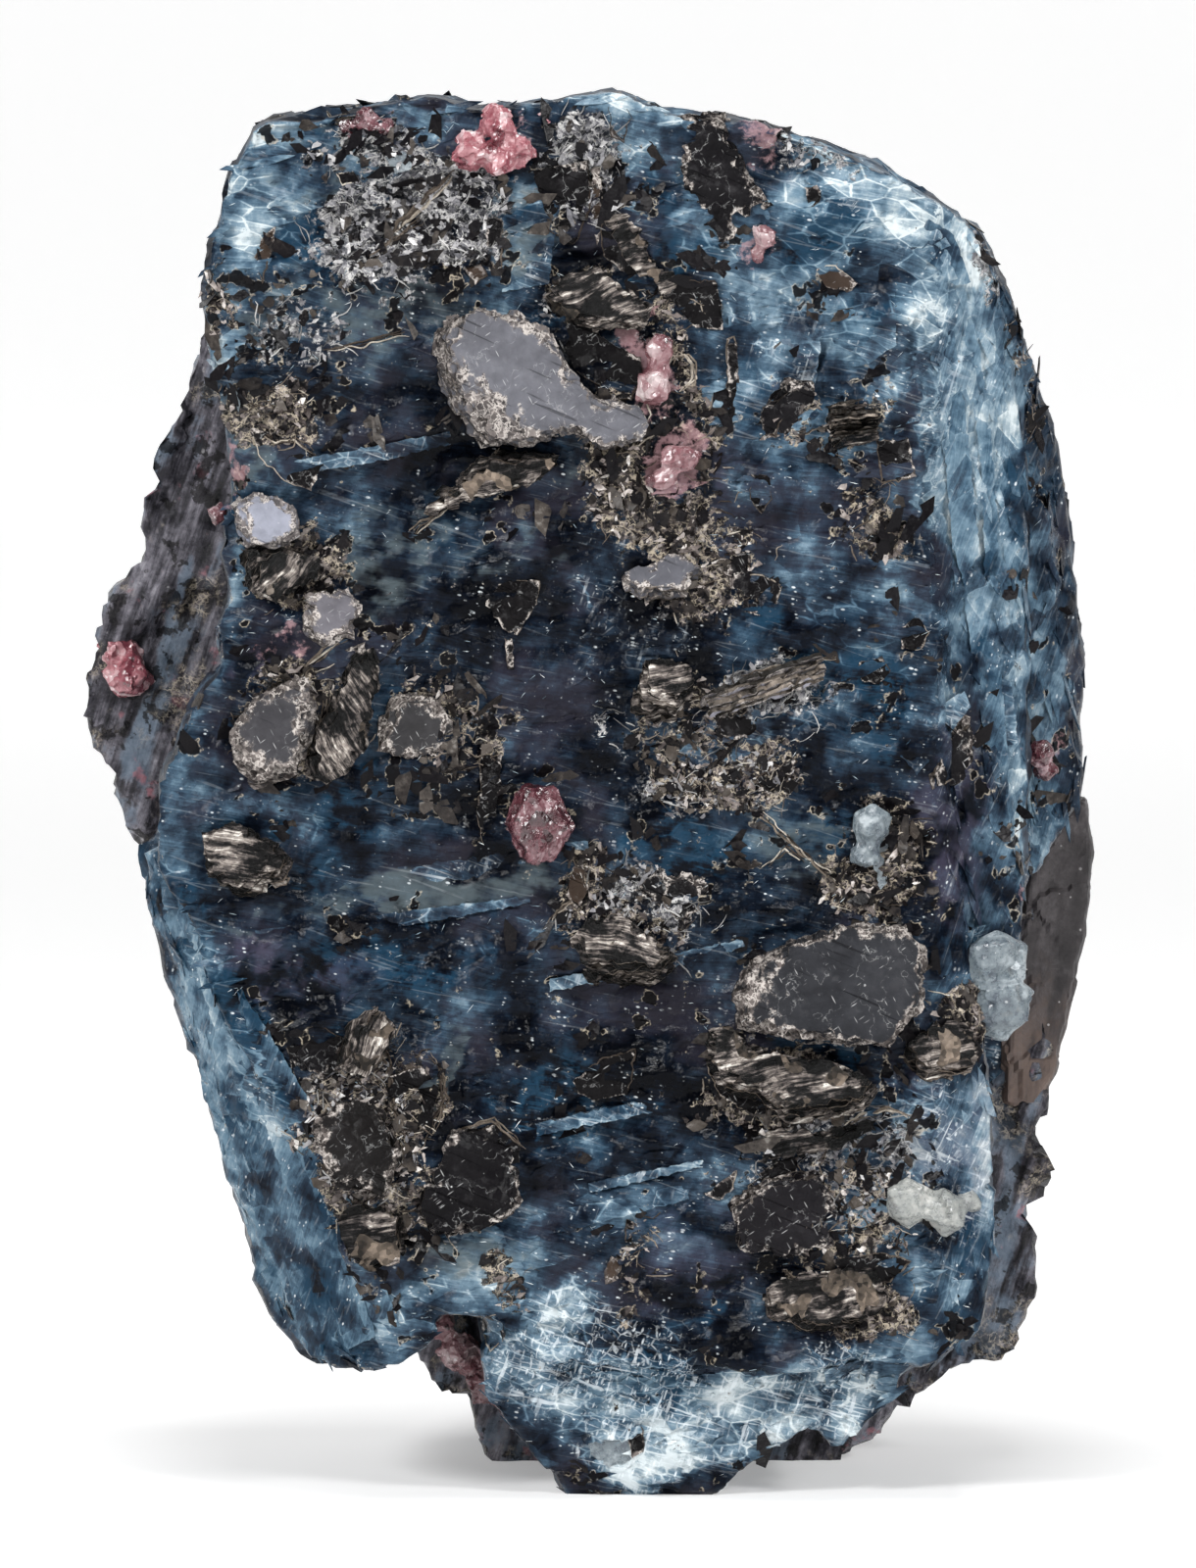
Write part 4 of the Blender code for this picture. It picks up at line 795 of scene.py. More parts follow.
def makeSchistFinish():
    finish = Finish("darkMicaSchist")
    layers = finish.lengthwise(-stone["fibreAngle"], 3.6, 0.3, 0.8)
    streak = finish.cloud(1.0, 5.0, 0.6, layers)
    clouds = finish.cloud(0.45, 5.0, 0.6)
    grain = finish.cloud(2.4, 6.0, 0.7)
    finish.colour = finish.ramp(finish.between(streak * 0.5 + clouds * 0.3 + grain * 0.2, 0.36, 0.66), [
        (0.0, (0.007, 0.007, 0.008)), (0.32, (0.042, 0.04, 0.049)), (0.65, (0.145, 0.138, 0.16)),
        (1.0, (0.34, 0.33, 0.36))])
    blue = finish.between(finish.cloud(0.5, 4.0, 0.5, layers) + (clouds - 0.5), 0.5, 0.64)
    finish.cover(blue * 0.8, finish.mix(grain, (0.04, 0.065, 0.1), (0.2, 0.25, 0.31)))
    pinkGrains = finish.between(finish.cloud(0.9, 4.0, 0.55), 0.61, 0.69)
    finish.cover(pinkGrains * 0.8, finish.mix(grain, (0.16, 0.045, 0.06), (0.46, 0.22, 0.25)))
    finish.cover(finish.between(finish.cloud(1.3, 4.0, 0.6), 0.56, 0.6) * 0.85, (0.005, 0.0045, 0.005))
    finish.cover(finish.between(finish.cloud(0.6, 4.0, 0.6), 0.52, 0.64) * 0.7, crustColours(finish, "bronze")[0])
    white = finish.specks(2.2, 0.18, 0.22) * 0.6 | finish.specks(4.6, 0.2, 0.22) * 0.4
    finish.cover(white * finish.between(grain, 0.4, 0.65), (0.6, 0.58, 0.6))
    height = finish.tiltedCells(0.8, layers) * 0.12 + finish.tiltedCells(2.6) * 0.45 + grain * 0.1
    return finish.setOver(height, 0.9, rough=finish.between(grain, 0.2, 0.8) * 0.24 + 0.14, level=0.14)


def makeStone():
    bm, mesh = grownBlock(kyaniteBlades, stone["seam"] + stone["grownPast"])
    refineFront(bm, stone["refineTowards"])
    kyanite = roughened("kyanite_mass", bm, mesh, kyaniteRelief, makeKyaniteFinish())
    schist = roughened("schist_mass", *grownBlock(schistBlades, stone["back"]), schistRelief, makeSchistFinish())
    return settle(kyanite, "kyanite", "kyanite_blades"), settle(schist, "schist", "schist_matrix")


kyanite, schist = makeStone()
print("stone grown:", len(kyanite.data.polygons), "and", len(schist.data.polygons), "faces")


# Mica: books of thin sheets, each grown from its CAD node's outline
bookLook = {
    "sheet": 0.085, "mostDepth": 1.5, "ragged": 0.09, "topGrid": 0.22, "rimWidth": 0.16, "step": 0.11,
    "spacing": 0.13, "slit": 0.012, "wave": 0.16, "seed": 40,
}

# the grey kind is black mica whose face colour is painted reflection of the bright surroundings
bookKinds = {
    "black": [
        "centre_black", "cluster_black_a", "cluster_black_b", "cluster_great_black", "lower_black", "tall_black",
        "right_leaf", "right_pair", "upper_core"],
    "bronze": [
        "upper_bronze", "upper_flap", "cluster_brown", "cluster_curl", "low_band", "low_bronze",
        "book_under_plate", "left_blade_b", "top_band", "left_edge_plates", "plate_edges"],
    "grey": [
        "upper_grey", "great_plate", "left_tile", "left_curl", "left_nub", "left_blade_a", "left_blade_c",
        "centre_fringe", "centre_ribbed", "centre_slats", "right_ribbed", "lower_silver", "cluster_grey",
        "low_plates"],
}
# how wide the crushed rim of some books is, how dark their face is, and the angle of a crumpled book's ribs; the
# light grey faces are painted reflection of the bright surroundings on black mica
bookManners = {
    "upper_grey": {"face": (0.12, 0.121, 0.138), "rimWidth": 0.22, "crustTowards": (-0.66, -0.55)},
    "great_plate": {"face": (0.025, 0.026, 0.03), "rimWidth": 0.07, "crustTowards": (-0.6, 0.0)},
    "left_tile": {"face": (0.25, 0.26, 0.31), "rimWidth": 0.12, "crustTowards": (0.1, -0.6)},
    "left_blade_a": {"face": (0.048, 0.047, 0.052), "rimWidth": 0.3, "crustTowards": (-0.5, -0.6)},
    "left_blade_c": {"face": (0.035, 0.034, 0.036)},
    "centre_slats": {"face": (0.36, 0.35, 0.4), "rimWidth": 0.08},
    "cluster_grey": {"face": (0.01, 0.009, 0.009), "rimWidth": 0.24},
    "low_plates": {"face": (0.012, 0.011, 0.013), "rimWidth": 0.16},
    "left_curl": {"ribs": 55},
    "left_nub": {"face": (0.12, 0.115, 0.13)},
    "centre_ribbed": {"ribs": 12},
    "centre_fringe": {"face": (0.105, 0.106, 0.122)},
    "right_ribbed": {"ribs": 5},
    "cluster_great_black": {"rimWidth": 0.26},
    "lower_silver": {"ribs": -10},
    "cluster_curl": {"ribs": 70},
    "left_blade_b": {"ribs": -60},
    "left_edge_plates": {"ribs": -8},
    "plate_edges": {"ribs": 4},
    "upper_bronze": {"ribs": 24},
}
# the black and bronze face colours are the mica's own; the grey one is painted reflection of the bright surroundings
faceColoursAndReflections = {"grey": (0.165, 0.168, 0.19), "black": (0.006, 0.0055, 0.0065), "bronze": (0.085, 0.07, 0.058)}
edgeTints = {"grey": (0.22, 0.185, 0.155), "black": (0.1, 0.082, 0.068), "bronze": (0.19, 0.15, 0.118)}


def tinted(colour, share, more=0.0):
    return tuple(min(1.0, shade * share + more) for shade in colour)


def makeMicaFace(name, face):
    finish = Finish(name)
    rim = finish.mask("rim")
    grain = finish.cloud(2.4, 6.0, 0.68)
    broad = finish.cloud(0.6, 3.0, 0.5)
    black = max(face) < 0.02
    # the face colour; on grey books it is painted reflection of the bright surroundings on black mica
    finish.colour = finish.mix(finish.between(broad * 0.6 + grain * 0.4, 0.36, 0.64), tinted(face, 0.78),
                               tinted(face, 1.12, 0.002))
    # fine grey cracks where sheets have split
    cracks = finish.filaments(0.85, 0.007, 5.0) * finish.between(grain, 0.4, 0.6)
    # painted sheen: greyer patches standing in for reflection on the faces, stronger on black ones
    paintedSheen = finish.between(broad * 0.5 + grain * 0.5, 0.56, 0.66) * (0.26 if black else 0.12)
    finish.cover(paintedSheen, (0.08, 0.078, 0.082))
    finish.cover(cracks * 0.7, tinted(face, 0.5, 0.2))
    # the rim is crushed here and there only
    crushed = finish.between(rim * (0.7 if black else 0.9) + (grain - 0.5) * 2.0 + (broad - 0.5) * 1.2, 0.6, 0.82)
    crust = finish.ramp(finish.chance("Red", 6.0) * 0.4 + grain * 0.4, [
        (0.0, (0.008, 0.007, 0.007)), (0.32, (0.05, 0.042, 0.039)), (0.56, (0.16, 0.138, 0.128)),
        (0.76, (0.33, 0.3, 0.28)), (0.96, (0.76, 0.73, 0.7))])
    threads = (finish.filaments(1.7, 0.03) | finish.filaments(4.4, 0.05)) * finish.between(grain, 0.4, 0.6) * 0.8
    finish.cover(crushed * 0.9, finish.mix(threads, crust, (0.6, 0.55, 0.51)))
    # painted glints: small light grey specks and curls on the faces
    specks = finish.specks(4.4, 0.15, 0.4 if black else 0.34) * finish.between(grain, 0.42, 0.6)
    curledGlints = [finish.specks(1.0, 0.3, share, finish.lengthwise(angle, 0.4, 0.05, 0.3))
             for angle, share in ((34, 0.1), (-62, 0.08))]
    finish.cover(specks * 0.75 | (curledGlints[0] | curledGlints[1]) * 0.5, (0.66, 0.66, 0.66))
    # painted shade: straight grooves darkened in colour, and sunk a little in the bump
    shadedGroove = finish.between(finish.cloud(1.0, 1.0, 0.5, finish.lengthwise(-24, 4.0, 0.12, 0.6)), 0.66, 0.72)
    finish.cover(shadedGroove * 0.6, tinted(face, 0.25))
    breaks = finish.tiltedCells(1.5) * (0.6 if black else 0.05)
    height = grain * 0.06 + broad * 0.5 - shadedGroove * 0.05 + finish.tiltedCells(5.0) * rim * 0.5 + breaks
    rough = finish.between(grain, 0.3, 0.7) * 0.12 + 0.1 + crushed * 0.15
    return finish.setOver(height, 0.8, rough=rough, level=0.06)


def makeMicaEdge(name, tint):
    # the cut edges of the sheets, seen end on
    finish = Finish(name)
    grain = finish.cloud(3.0, 6.0, 0.7)
    broad = finish.cloud(0.8, 3.0, 0.5)
    value = finish.chance("Green", 7.0) * 0.2 + grain * 0.3 + finish.between(broad, 0.3, 0.7) * 0.2
    finish.colour = finish.ramp(value + finish.mask("tone") * 0.34, [
        (0.0, (0.004, 0.0035, 0.0035)), (0.46, (0.014, 0.012, 0.01)), (0.64, tinted(tint, 0.5)),
        (0.84, tinted(tint, 1.4)), (1.0, (0.66, 0.61, 0.52))])
    return finish.setOver(finish.tiltedCells(6.0) * 0.35 + grain * 0.05, 0.8, rough=0.3, level=0.12)


def makeMicaCrumpled(name, angle):
    # the crumpled books: sheets bent and broken across, so their edges lie in ribs
    finish = Finish(name)
    grain = finish.cloud(3.0, 6.0, 0.7)
    warp = finish.vector("MULTIPLY", finish.cloud(0.7, 2.0, 0.5, result="Color"), (3.4, 3.4, 3.4))
    ribs = finish.cloud(1.0, 5.0, 0.7, finish.vector("ADD", finish.lengthwise(angle, 2.2, 0.13, 0.4), warp))
    folds = finish.cloud(0.7, 3.0, 0.5, finish.vector("ADD", finish.lengthwise(angle, 1.6, 0.5, 0.6), warp))
    value = finish.between(ribs, 0.32, 0.68) * 0.52 + finish.between(folds, 0.36, 0.62) * 0.42 + (grain - 0.5) * 0.5
    finish.colour = finish.ramp(value + (finish.chance("Red", 6.5) - 0.5) * 0.14, [
        (0.0, (0.002, 0.002, 0.002)), (0.44, (0.006, 0.006, 0.006)), (0.55, (0.05, 0.043, 0.041)),
        (0.68, (0.15, 0.128, 0.116)), (0.82, (0.36, 0.32, 0.285)), (0.96, (0.84, 0.8, 0.74))])
    height = ribs * 0.16 + folds * 0.2 + finish.tiltedCells(6.0) * 0.2
    return finish.setOver(height, 0.8, rough=finish.between(grain, 0.3, 0.7) * 0.16 + 0.12, level=0.12)


def outwardOf(bm):
    # the way the book's cleavage face looks: the largest area that shares one direction, facing forwards
    areas = {}
    for face in bm.faces:
        if face.normal.y < -0.4:
            key = tuple(round(part * 25) for part in face.normal)
            total, normal = areas.get(key, (0.0, face.normal.copy()))
            areas[key] = (total + face.calc_area(), normal)
    return max(areas.values(), key=lambda entry: entry[0])[1].normalized()


def outlineOf(bm, outward):
    # the outline of the book's hidden face, as a ring of points
    hidden = {face for face in bm.faces if face.normal.dot(outward) < -0.98}
    nextPoint = {}
    for face in bm.faces:
        for loop in face.loops if face in hidden else ():
            if loop.link_loop_radial_next.face not in hidden:
                nextPoint[loop.vert] = loop.link_loop_next.vert
    ring = [next(iter(nextPoint))]
    while nextPoint[ring[-1]] is not ring[0] and len(ring) < len(nextPoint):
        ring.append(nextPoint[ring[-1]])
    return [vert.co / mm for vert in ring]


def pairsOf(ring):
    return zip(ring, ring[1:] + ring[:1])


def divided(pairs, spacing):
    # points along the sides, as near to that spacing as whole steps allow
    dense = []
    for here, there in pairs:
        count = max(1, round((there - here).length / spacing))
        dense.extend(here.lerp(there, step / count) for step in range(count))
    return dense


def inwardOf(ring):
    turn = sum(here.cross(there) for here, there in pairsOf(ring))
    side = 1 if turn > 0 else -1
    found = []
    for index in range(len(ring)):
        run = ring[(index + 1) % len(ring)] - ring[index - 1]
        found.append((Vector((-run.y, run.x)) * side).normalized())
    return found


def distanceToRing(point, ring):
    nearest = 1e9
    for here, there in pairsOf(ring):
        side = there - here
        share = max(0.0, min(1.0, (point - here).dot(side) / max(1e-12, side.length_squared)))
        nearest = min(nearest, (point - here - side * share).length)
    return nearest


def insideRing(point, ring):
    inside = False
    for here, there in pairsOf(ring):
        if (here.y > point.y) != (there.y > point.y):
            crossX = here.x + (point.y - here.y) / (there.y - here.y) * (there.x - here.x)
            inside = inside != (point.x < crossX)
    return inside


def emptyBuild():
    return {"points": [], "faces": [], "kinds": [], "rims": [], "tones": []}


def buildMesh(name, build, *materials):
    mesh = bpy.data.meshes.new(name)
    mesh.from_pydata([point * mm for point in build["points"]], [], build["faces"])
    if build["kinds"]:
        mesh.polygons.foreach_set("material_index", build["kinds"])
    for mask, key in (("rim", "rims"), ("tone", "tones")):
        if build[key]:
            setMask(mesh, mask, build[key])
    bm = bmesh.new()
    bm.from_mesh(mesh)
    bmesh.ops.recalc_face_normals(bm, faces=bm.faces)
    bm.to_mesh(mesh)
    bm.free()
    return meshObject(name, mesh, *materials)


def innerPoints(ring, grid):
    # staggered rows of points inside the ring
    lowX, highX = min(point.x for point in ring), max(point.x for point in ring)
    lowY, highY = min(point.y for point in ring), max(point.y for point in ring)
    inner = []
    for row in range(int((highY - lowY) / grid) + 1):
        for column in range(int((highX - lowX) / grid) + 1):
            offset = (row % 2) * 0.5
            point = Vector((lowX + (column + offset) * grid, lowY + row * grid * 0.87))
            if insideRing(point, ring) and distanceToRing(point, ring) > grid * 0.35:
                inner.append(point)
    return inner


def addSheet(build, ring, low, high, grid, place, rimWidth, wave, tone):
    # one sheet: a ragged outline filled with triangles, a little uneven, with a wall round it
    inner = innerPoints(ring, grid) if grid else []
    edges = [(index, (index + 1) % len(ring)) for index in range(len(ring))]
    points, _, faces, *_ = geometry.delaunay_2d_cdt(ring + inner, edges, [], 1, 1e-5)
    start, count = len(build["points"]), len(points)
    rims = []
    for point in points:
        near = distanceToRing(point, ring) if grid else 0.0
        rims.append(max(0.0, 1 - near / (2 * rimWidth)))
        at = Vector((point.x, point.y, high))
        lift = wave * noise.noise(at / 0.8) + 0.05 * rims[-1] * noise.noise(at / 0.16)
        build["points"].append(place(point, high + lift))
    build["points"] += [place(point, low) for point in points]
    build["rims"] += rims + [1.0] * count
    build["tones"] += [tone] * (2 * count)
    used = {}
    for face in faces:
        corners = [start + index for index in face]
        build["faces"] += [tuple(corners), tuple(corner + count for corner in corners[::-1])]
        build["kinds"] += [0, 1]
        for side in pairsOf(corners):
            used[side] = True
    for here, there in used:
        if (there, here) not in used:
            build["faces"].append((there, here, here + count, there + count))
            build["kinds"].append(1)


def sheetStack(name, outline, place, thick, manner, seed, *finishes):
    # sheets from the hidden part up to the top one, each with its own ragged outline
    draw = random.Random(seed)
    build = emptyBuild()
    dense = divided(pairsOf(outline), bookLook["spacing"])
    inward = inwardOf(dense)
    levels = [-min(thick, bookLook["mostDepth"])]
    while levels[-1] < 0:
        levels.append(levels[-1] + bookLook["sheet"] * draw.uniform(0.5, 1.7))
    levels[-1] = 0.0
    count = len(levels) - 1
    for index in range(count):
        shift = Vector((draw.uniform(-9, 9), draw.uniform(-9, 9), draw.uniform(-9, 9)))
        pull = bookLook["step"] * (index / max(1, count - 1)) ** 2 * 1.3 + draw.uniform(0, 0.05)
        ring = []
        for point, side in zip(dense, inward):
            at = Vector((point.x, point.y, 0)) + shift
            ragged = bookLook["ragged"] * noise.noise(at / 0.22) + 0.12 * noise.noise(at / 0.8)
            ragged += 0.14 * (noise.cell(at / 0.42) - 0.5)
            ring.append(point + side * (pull + ragged + 0.03 * noise.noise(at / 0.09)))
        grid = bookLook["topGrid"] * (0.6 if "wave" in manner else 1.0) if index >= count - 2 else None
        high = levels[index + 1] - (bookLook["slit"] if index < count - 1 else 0)
        addSheet(build, ring, levels[index], high, grid, place, manner["rimWidth"], manner.get("wave", 0.03),
                 draw.random())
    return buildMesh(name, build, *finishes)


def crustOneSide(mesh, towards):
    # the rim's crust reaches further in on one side
    points = pointsOf(mesh)[:, [0, 2]]
    low, high = points.min(axis=0), points.max(axis=0)
    share = ((points * 2 - low - high) / (high - low) * towards).sum(axis=1)
    setMask(mesh, "rim", np.maximum(readMask(mesh, "rim"), np.clip((share - 0.05) / 0.5, 0, 1)))


def slotOf(node):
    return next(part["material_slot"] for part in frame["record"]["subparts"] if part["node"] == node)


def makeBook(short, kind, seed, edgeFinish, faceFinishes):
    manner = {"rimWidth": bookLook["rimWidth"], "face": faceColoursAndReflections[kind]} | bookManners.get(short, {})
    if kind == "bronze":
        manner.setdefault("ribs", 12)
    if "ribs" in manner:
        manner["wave"] = bookLook["wave"]
    make, name, key = makeMicaFace, "micaFace", manner["face"]
    if "ribs" in manner:
        make, name, key = makeMicaCrumpled, "crumpledMica", manner["ribs"]
    if key not in faceFinishes:
        faceFinishes[key] = make(f"{name}{len(faceFinishes) + 1}", key)
    bm = loosened("mica_" + short)
    bm.normal_update()
    outward = outwardOf(bm)
    ring = outlineOf(bm, outward)
    depths = [vert.co.dot(outward) / mm for vert in bm.verts]
    bm.free()
    top, bottom = max(depths), min(depths)
    sideways = outward.cross(Vector((0, 0, 1))).normalized()
    upwards = sideways.cross(outward).normalized()
    flat = [Vector((point.dot(sideways), point.dot(upwards))) for point in ring]

    def place(point, level):
        return sideways * point.x + upwards * point.y + outward * (top + level)

    piece = sheetStack(short + "_book", flat, place, top - bottom, manner, seed, faceFinishes[key], edgeFinish)
    if "crustTowards" in manner:
        crustOneSide(piece.data, manner["crustTowards"])
    settle(piece, slotOf("mica_" + short), "mica_" + short)


def makeBooks():
    faceFinishes = {}
    seed = bookLook["seed"]
    for kind, names in bookKinds.items():
        edgeFinish = makeMicaEdge(kind + "MicaEdge", edgeTints[kind])
        for name in names:
            seed += 1
            makeBook(name, kind, seed, edgeFinish, faceFinishes)


makeBooks()
print("mica books stacked")


# Garnets, quartz and the plate at the right: the CAD's grains, with their small facets, chips and steps
grainLook = {
    "garnet": {"voxel": 0.085, "facet": 0.42, "facetDepth": 0.1, "lump": 0.05, "pit": 0.018},
    "quartz": {"voxel": 0.11, "facet": 1.3, "facetDepth": 0.12, "lump": 0.03, "pit": 0.015},
    "slab": {"voxel": 0.13, "facet": 2.4, "facetDepth": 0.1, "lump": 0.06, "pit": 0.012},
}
# the names of the grains of each finish, in the order of their seeds
garnets = {
    "crystal": "raspberry", "left_low": "raspberry", "left_rim": "raspberry", "left_tip": "pale",
    "low_right": "dusty", "right_rim": "raspberry", "top_cluster": "pale", "top_left": "raspberry",
    "top_right": "dusty", "under_seam": "dusty", "vein": "dusty", "vein_low": "dusty",
}
garnetShades = {
    "pale": [
        (0.0, (0.04, 0.008, 0.013)), (0.28, (0.14, 0.025, 0.038)), (0.46, (0.32, 0.08, 0.105)),
        (0.66, (0.52, 0.225, 0.25)), (0.95, (0.9, 0.74, 0.75))],
    "dusty": [
        (0.0, (0.04, 0.013, 0.017)), (0.28, (0.13, 0.045, 0.055)), (0.46, (0.25, 0.105, 0.12)),
        (0.68, (0.38, 0.215, 0.23)), (1.0, (0.76, 0.64, 0.64))],
    "raspberry": [
        (0.0, (0.012, 0.005, 0.006)), (0.34, (0.045, 0.012, 0.017)), (0.54, (0.12, 0.034, 0.045)),
        (0.76, (0.22, 0.095, 0.112)), (1.0, (0.68, 0.5, 0.53))],
}
quartzShades = {
    "pale": [
        (0.0, (0.22, 0.23, 0.23)), (0.35, (0.3, 0.315, 0.305)), (0.7, (0.4, 0.41, 0.39)),
        (1.0, (0.62, 0.62, 0.59))],
    "bluish": [
        (0.0, (0.09, 0.11, 0.135)), (0.35, (0.145, 0.18, 0.205)), (0.7, (0.205, 0.245, 0.27)),
        (1.0, (0.42, 0.47, 0.5))],
}
# how much larger than the CAD's some grains are made each way, and how far they are moved
grainShapes = {
    "garnet_crystal": ((1.02, 1.0, 1.36), (0.0, 0.0, 0.15)),
    "garnet_left_tip": ((1.12, 1.25, 1.1), (-0.3, -0.55, 0.0)),
    "garnet_vein": ((1.55, 1.05, 1.65), (-0.35, -0.1, 0.1)),
    "garnet_vein_low": ((1.75, 1.05, 1.2), (0.0, -0.1, 0.05)),
    "garnet_under_seam": ((1.15, 1.1, 1.05), (0.0, -0.2, 0.0)),
    "quartz_right_chip": ((1.3, 1.0, 1.25), (0.1, -0.1, 0.0)),
    "mica_slab_right": ((1.0, 1.0, 0.96), (0.62, 0.0, 0.22)),
}


def makeGarnetFinish(name, shades):
    finish = Finish(name)
    clouds = finish.cloud(1.1, 4.0, 0.6)
    grain = finish.cloud(4.5, 5.0, 0.65)
    tone = finish.chance("Red", 2.6) * 0.45 + finish.between(clouds, 0.3, 0.7) * 0.4 + grain * 0.3
    finish.colour = finish.ramp(tone, shades)
    # painted highlights: small near-white specks
    finish.cover(finish.specks(4.2, 0.24, 0.34) * 0.8, (0.9, 0.84, 0.85))
    finish.cover(finish.between(finish.cloud(2.1, 4.0, 0.6), 0.62, 0.7) * 0.8, (0.018, 0.012, 0.014))
    height = finish.tiltedCells(2.6) * 0.3 + finish.tiltedCells(7.0) * 0.25 + grain * 0.03
    rough = finish.between(grain, 0.3, 0.7) * 0.2 + 0.1
    return finish.setOver(height, 0.8, rough=rough, clear=0.3, ior=1.76)


def makeQuartzFinish(name, shades):
    finish = Finish(name)
    clouds = finish.cloud(0.9, 5.0, 0.6)
    grain = finish.cloud(3.6, 6.0, 0.7)
    finish.colour = finish.ramp(finish.between(clouds * 0.55 + grain * 0.45, 0.34, 0.66), shades)
    finish.cover(finish.between(finish.cloud(1.7, 5.0, 0.65), 0.58, 0.68) * 0.2, (0.12, 0.085, 0.06))
    # painted glints: small near-white specks
    finish.cover(finish.specks(3.2, 0.16, 0.16) * 0.8, (0.9, 0.91, 0.92))
    height = finish.tiltedCells(1.3) * 0.16 + finish.tiltedCells(6.0) * 0.04 + grain * 0.02
    rough = finish.between(grain, 0.3, 0.7) * 0.25 + 0.18
    return finish.setOver(height, 0.8, rough=rough, clear=0.25, ior=1.55)


def makeSlabFinish():
    # smooth dark plate with faint layers and one reddish streak
    finish = Finish("darkPlate")
    layers = finish.lengthwise(78, 3.2, 0.8, 0.8)
    streak = finish.cloud(1.0, 5.0, 0.6, layers)
    grain = finish.cloud(2.6, 6.0, 0.7)
    finish.colour = finish.ramp(finish.between(streak * 0.6 + grain * 0.4, 0.32, 0.68), [
        (0.0, (0.022, 0.02, 0.021)), (0.5, (0.046, 0.041, 0.043)), (1.0, (0.09, 0.082, 0.085))])
    low = 1 - finish.between(finish.axis("Z") + (grain - 0.5) * 5, 10.5, 15.0)
    finish.cover(low * finish.between(streak, 0.35, 0.6) * 0.8, (0.15, 0.105, 0.085))
    red = finish.between(finish.cloud(0.55, 3.0, 0.5, layers), 0.6, 0.66) * finish.between(grain, 0.35, 0.6)
    finish.cover(red * 0.7, (0.24, 0.085, 0.095))
    finish.cover(finish.specks(3.2, 0.15, 0.2) * 0.7, (0.62, 0.6, 0.6))
    height = streak * 0.05 + finish.tiltedCells(1.6) * 0.12 + grain * 0.05
    return finish.setOver(height, 0.7, rough=finish.between(grain, 0.3, 0.7) * 0.2 + 0.3, level=0.2)


def makeGrain(name, node, look, seed, finish):
    mesh = evened(meshOf(name, loosened(node)), look["voxel"])
    points = pointsOf(mesh)
    sizes, shift = grainShapes.get(node, ((1, 1, 1), (0, 0, 0)))
    middle = (points.min(axis=0) + points.max(axis=0)) / 2
    moved = []
    for place, vert in zip((points - middle) * sizes + middle + shift, mesh.vertices):
        point = Vector(place)
        height = look["facetDepth"] * (brokenFacets(point, look["facet"], seed) - 0.5)
        height += look["lump"] * noise.noise(point / 0.5) + look["pit"] * noise.noise(point / 0.14)
        moved.append(point + vert.normal * height)
    movePoints(mesh, np.array(moved))
    mesh.update()
    settle(meshObject(name, mesh, finish), slotOf(node), node)


def makeGrains():
    finishes = {kind: makeGarnetFinish(kind + "Garnet", shades) for kind, shades in garnetShades.items()}
    for index, (name, kind) in enumerate(garnets.items()):
        makeGrain(name + "_garnet", "garnet_" + name, grainLook["garnet"], 3.0 + index, finishes[kind])
    white, bluish = [makeQuartzFinish(kind + "Quartz", shades) for kind, shades in quartzShades.items()]
    for index, (name, finish) in enumerate((("low_lump", white), ("patch", bluish), ("right_chip", bluish))):
        makeGrain(name + "_quartz", "quartz_" + name, grainLook["quartz"], 30.0 + index, finish)
    makeGrain("right_plate", "mica_slab_right", grainLook["slab"], 50.0, makeSlabFinish())


makeGrains()
print("garnets, quartz and the right plate made")


# Small flakes, chips and needles strewn over the kyanite mass with Geometry Nodes
def flakeMesh(name, corners, thick, seed, long=1.0, wedge=0.0):
    # a thin irregular plate lying flat, one unit wide
    draw = random.Random(seed)
    ring = []
    for index in range(corners):
        turn = 2 * math.pi * (index + draw.uniform(-0.28, 0.28)) / corners
        far = 0.5 * draw.uniform(0.72, 1.1)
        ring.append(Vector((far * long * math.cos(turn), far * math.sin(turn), 0)))
    bm = bmesh.new()
    addPrism(bm, [point + Vector((0, 0, thick / 2 + wedge * point.x)) for point in ring],
             [point * 0.9 - Vector((0, 0, thick / 2)) for point in ring])
    bmesh.ops.recalc_face_normals(bm, faces=bm.faces)
    bmesh.ops.triangulate(bm, faces=bm.faces[:])
    return meshOf(name, bm)


def flakeCollection(name, settings):
    collection = bpy.data.collections.new(name)
    for index, values in enumerate(settings):
        flakeName = f"{name}{index}"
        collection.objects.link(bpy.data.objects.new(flakeName, flakeMesh(flakeName, *values)))
    return collection


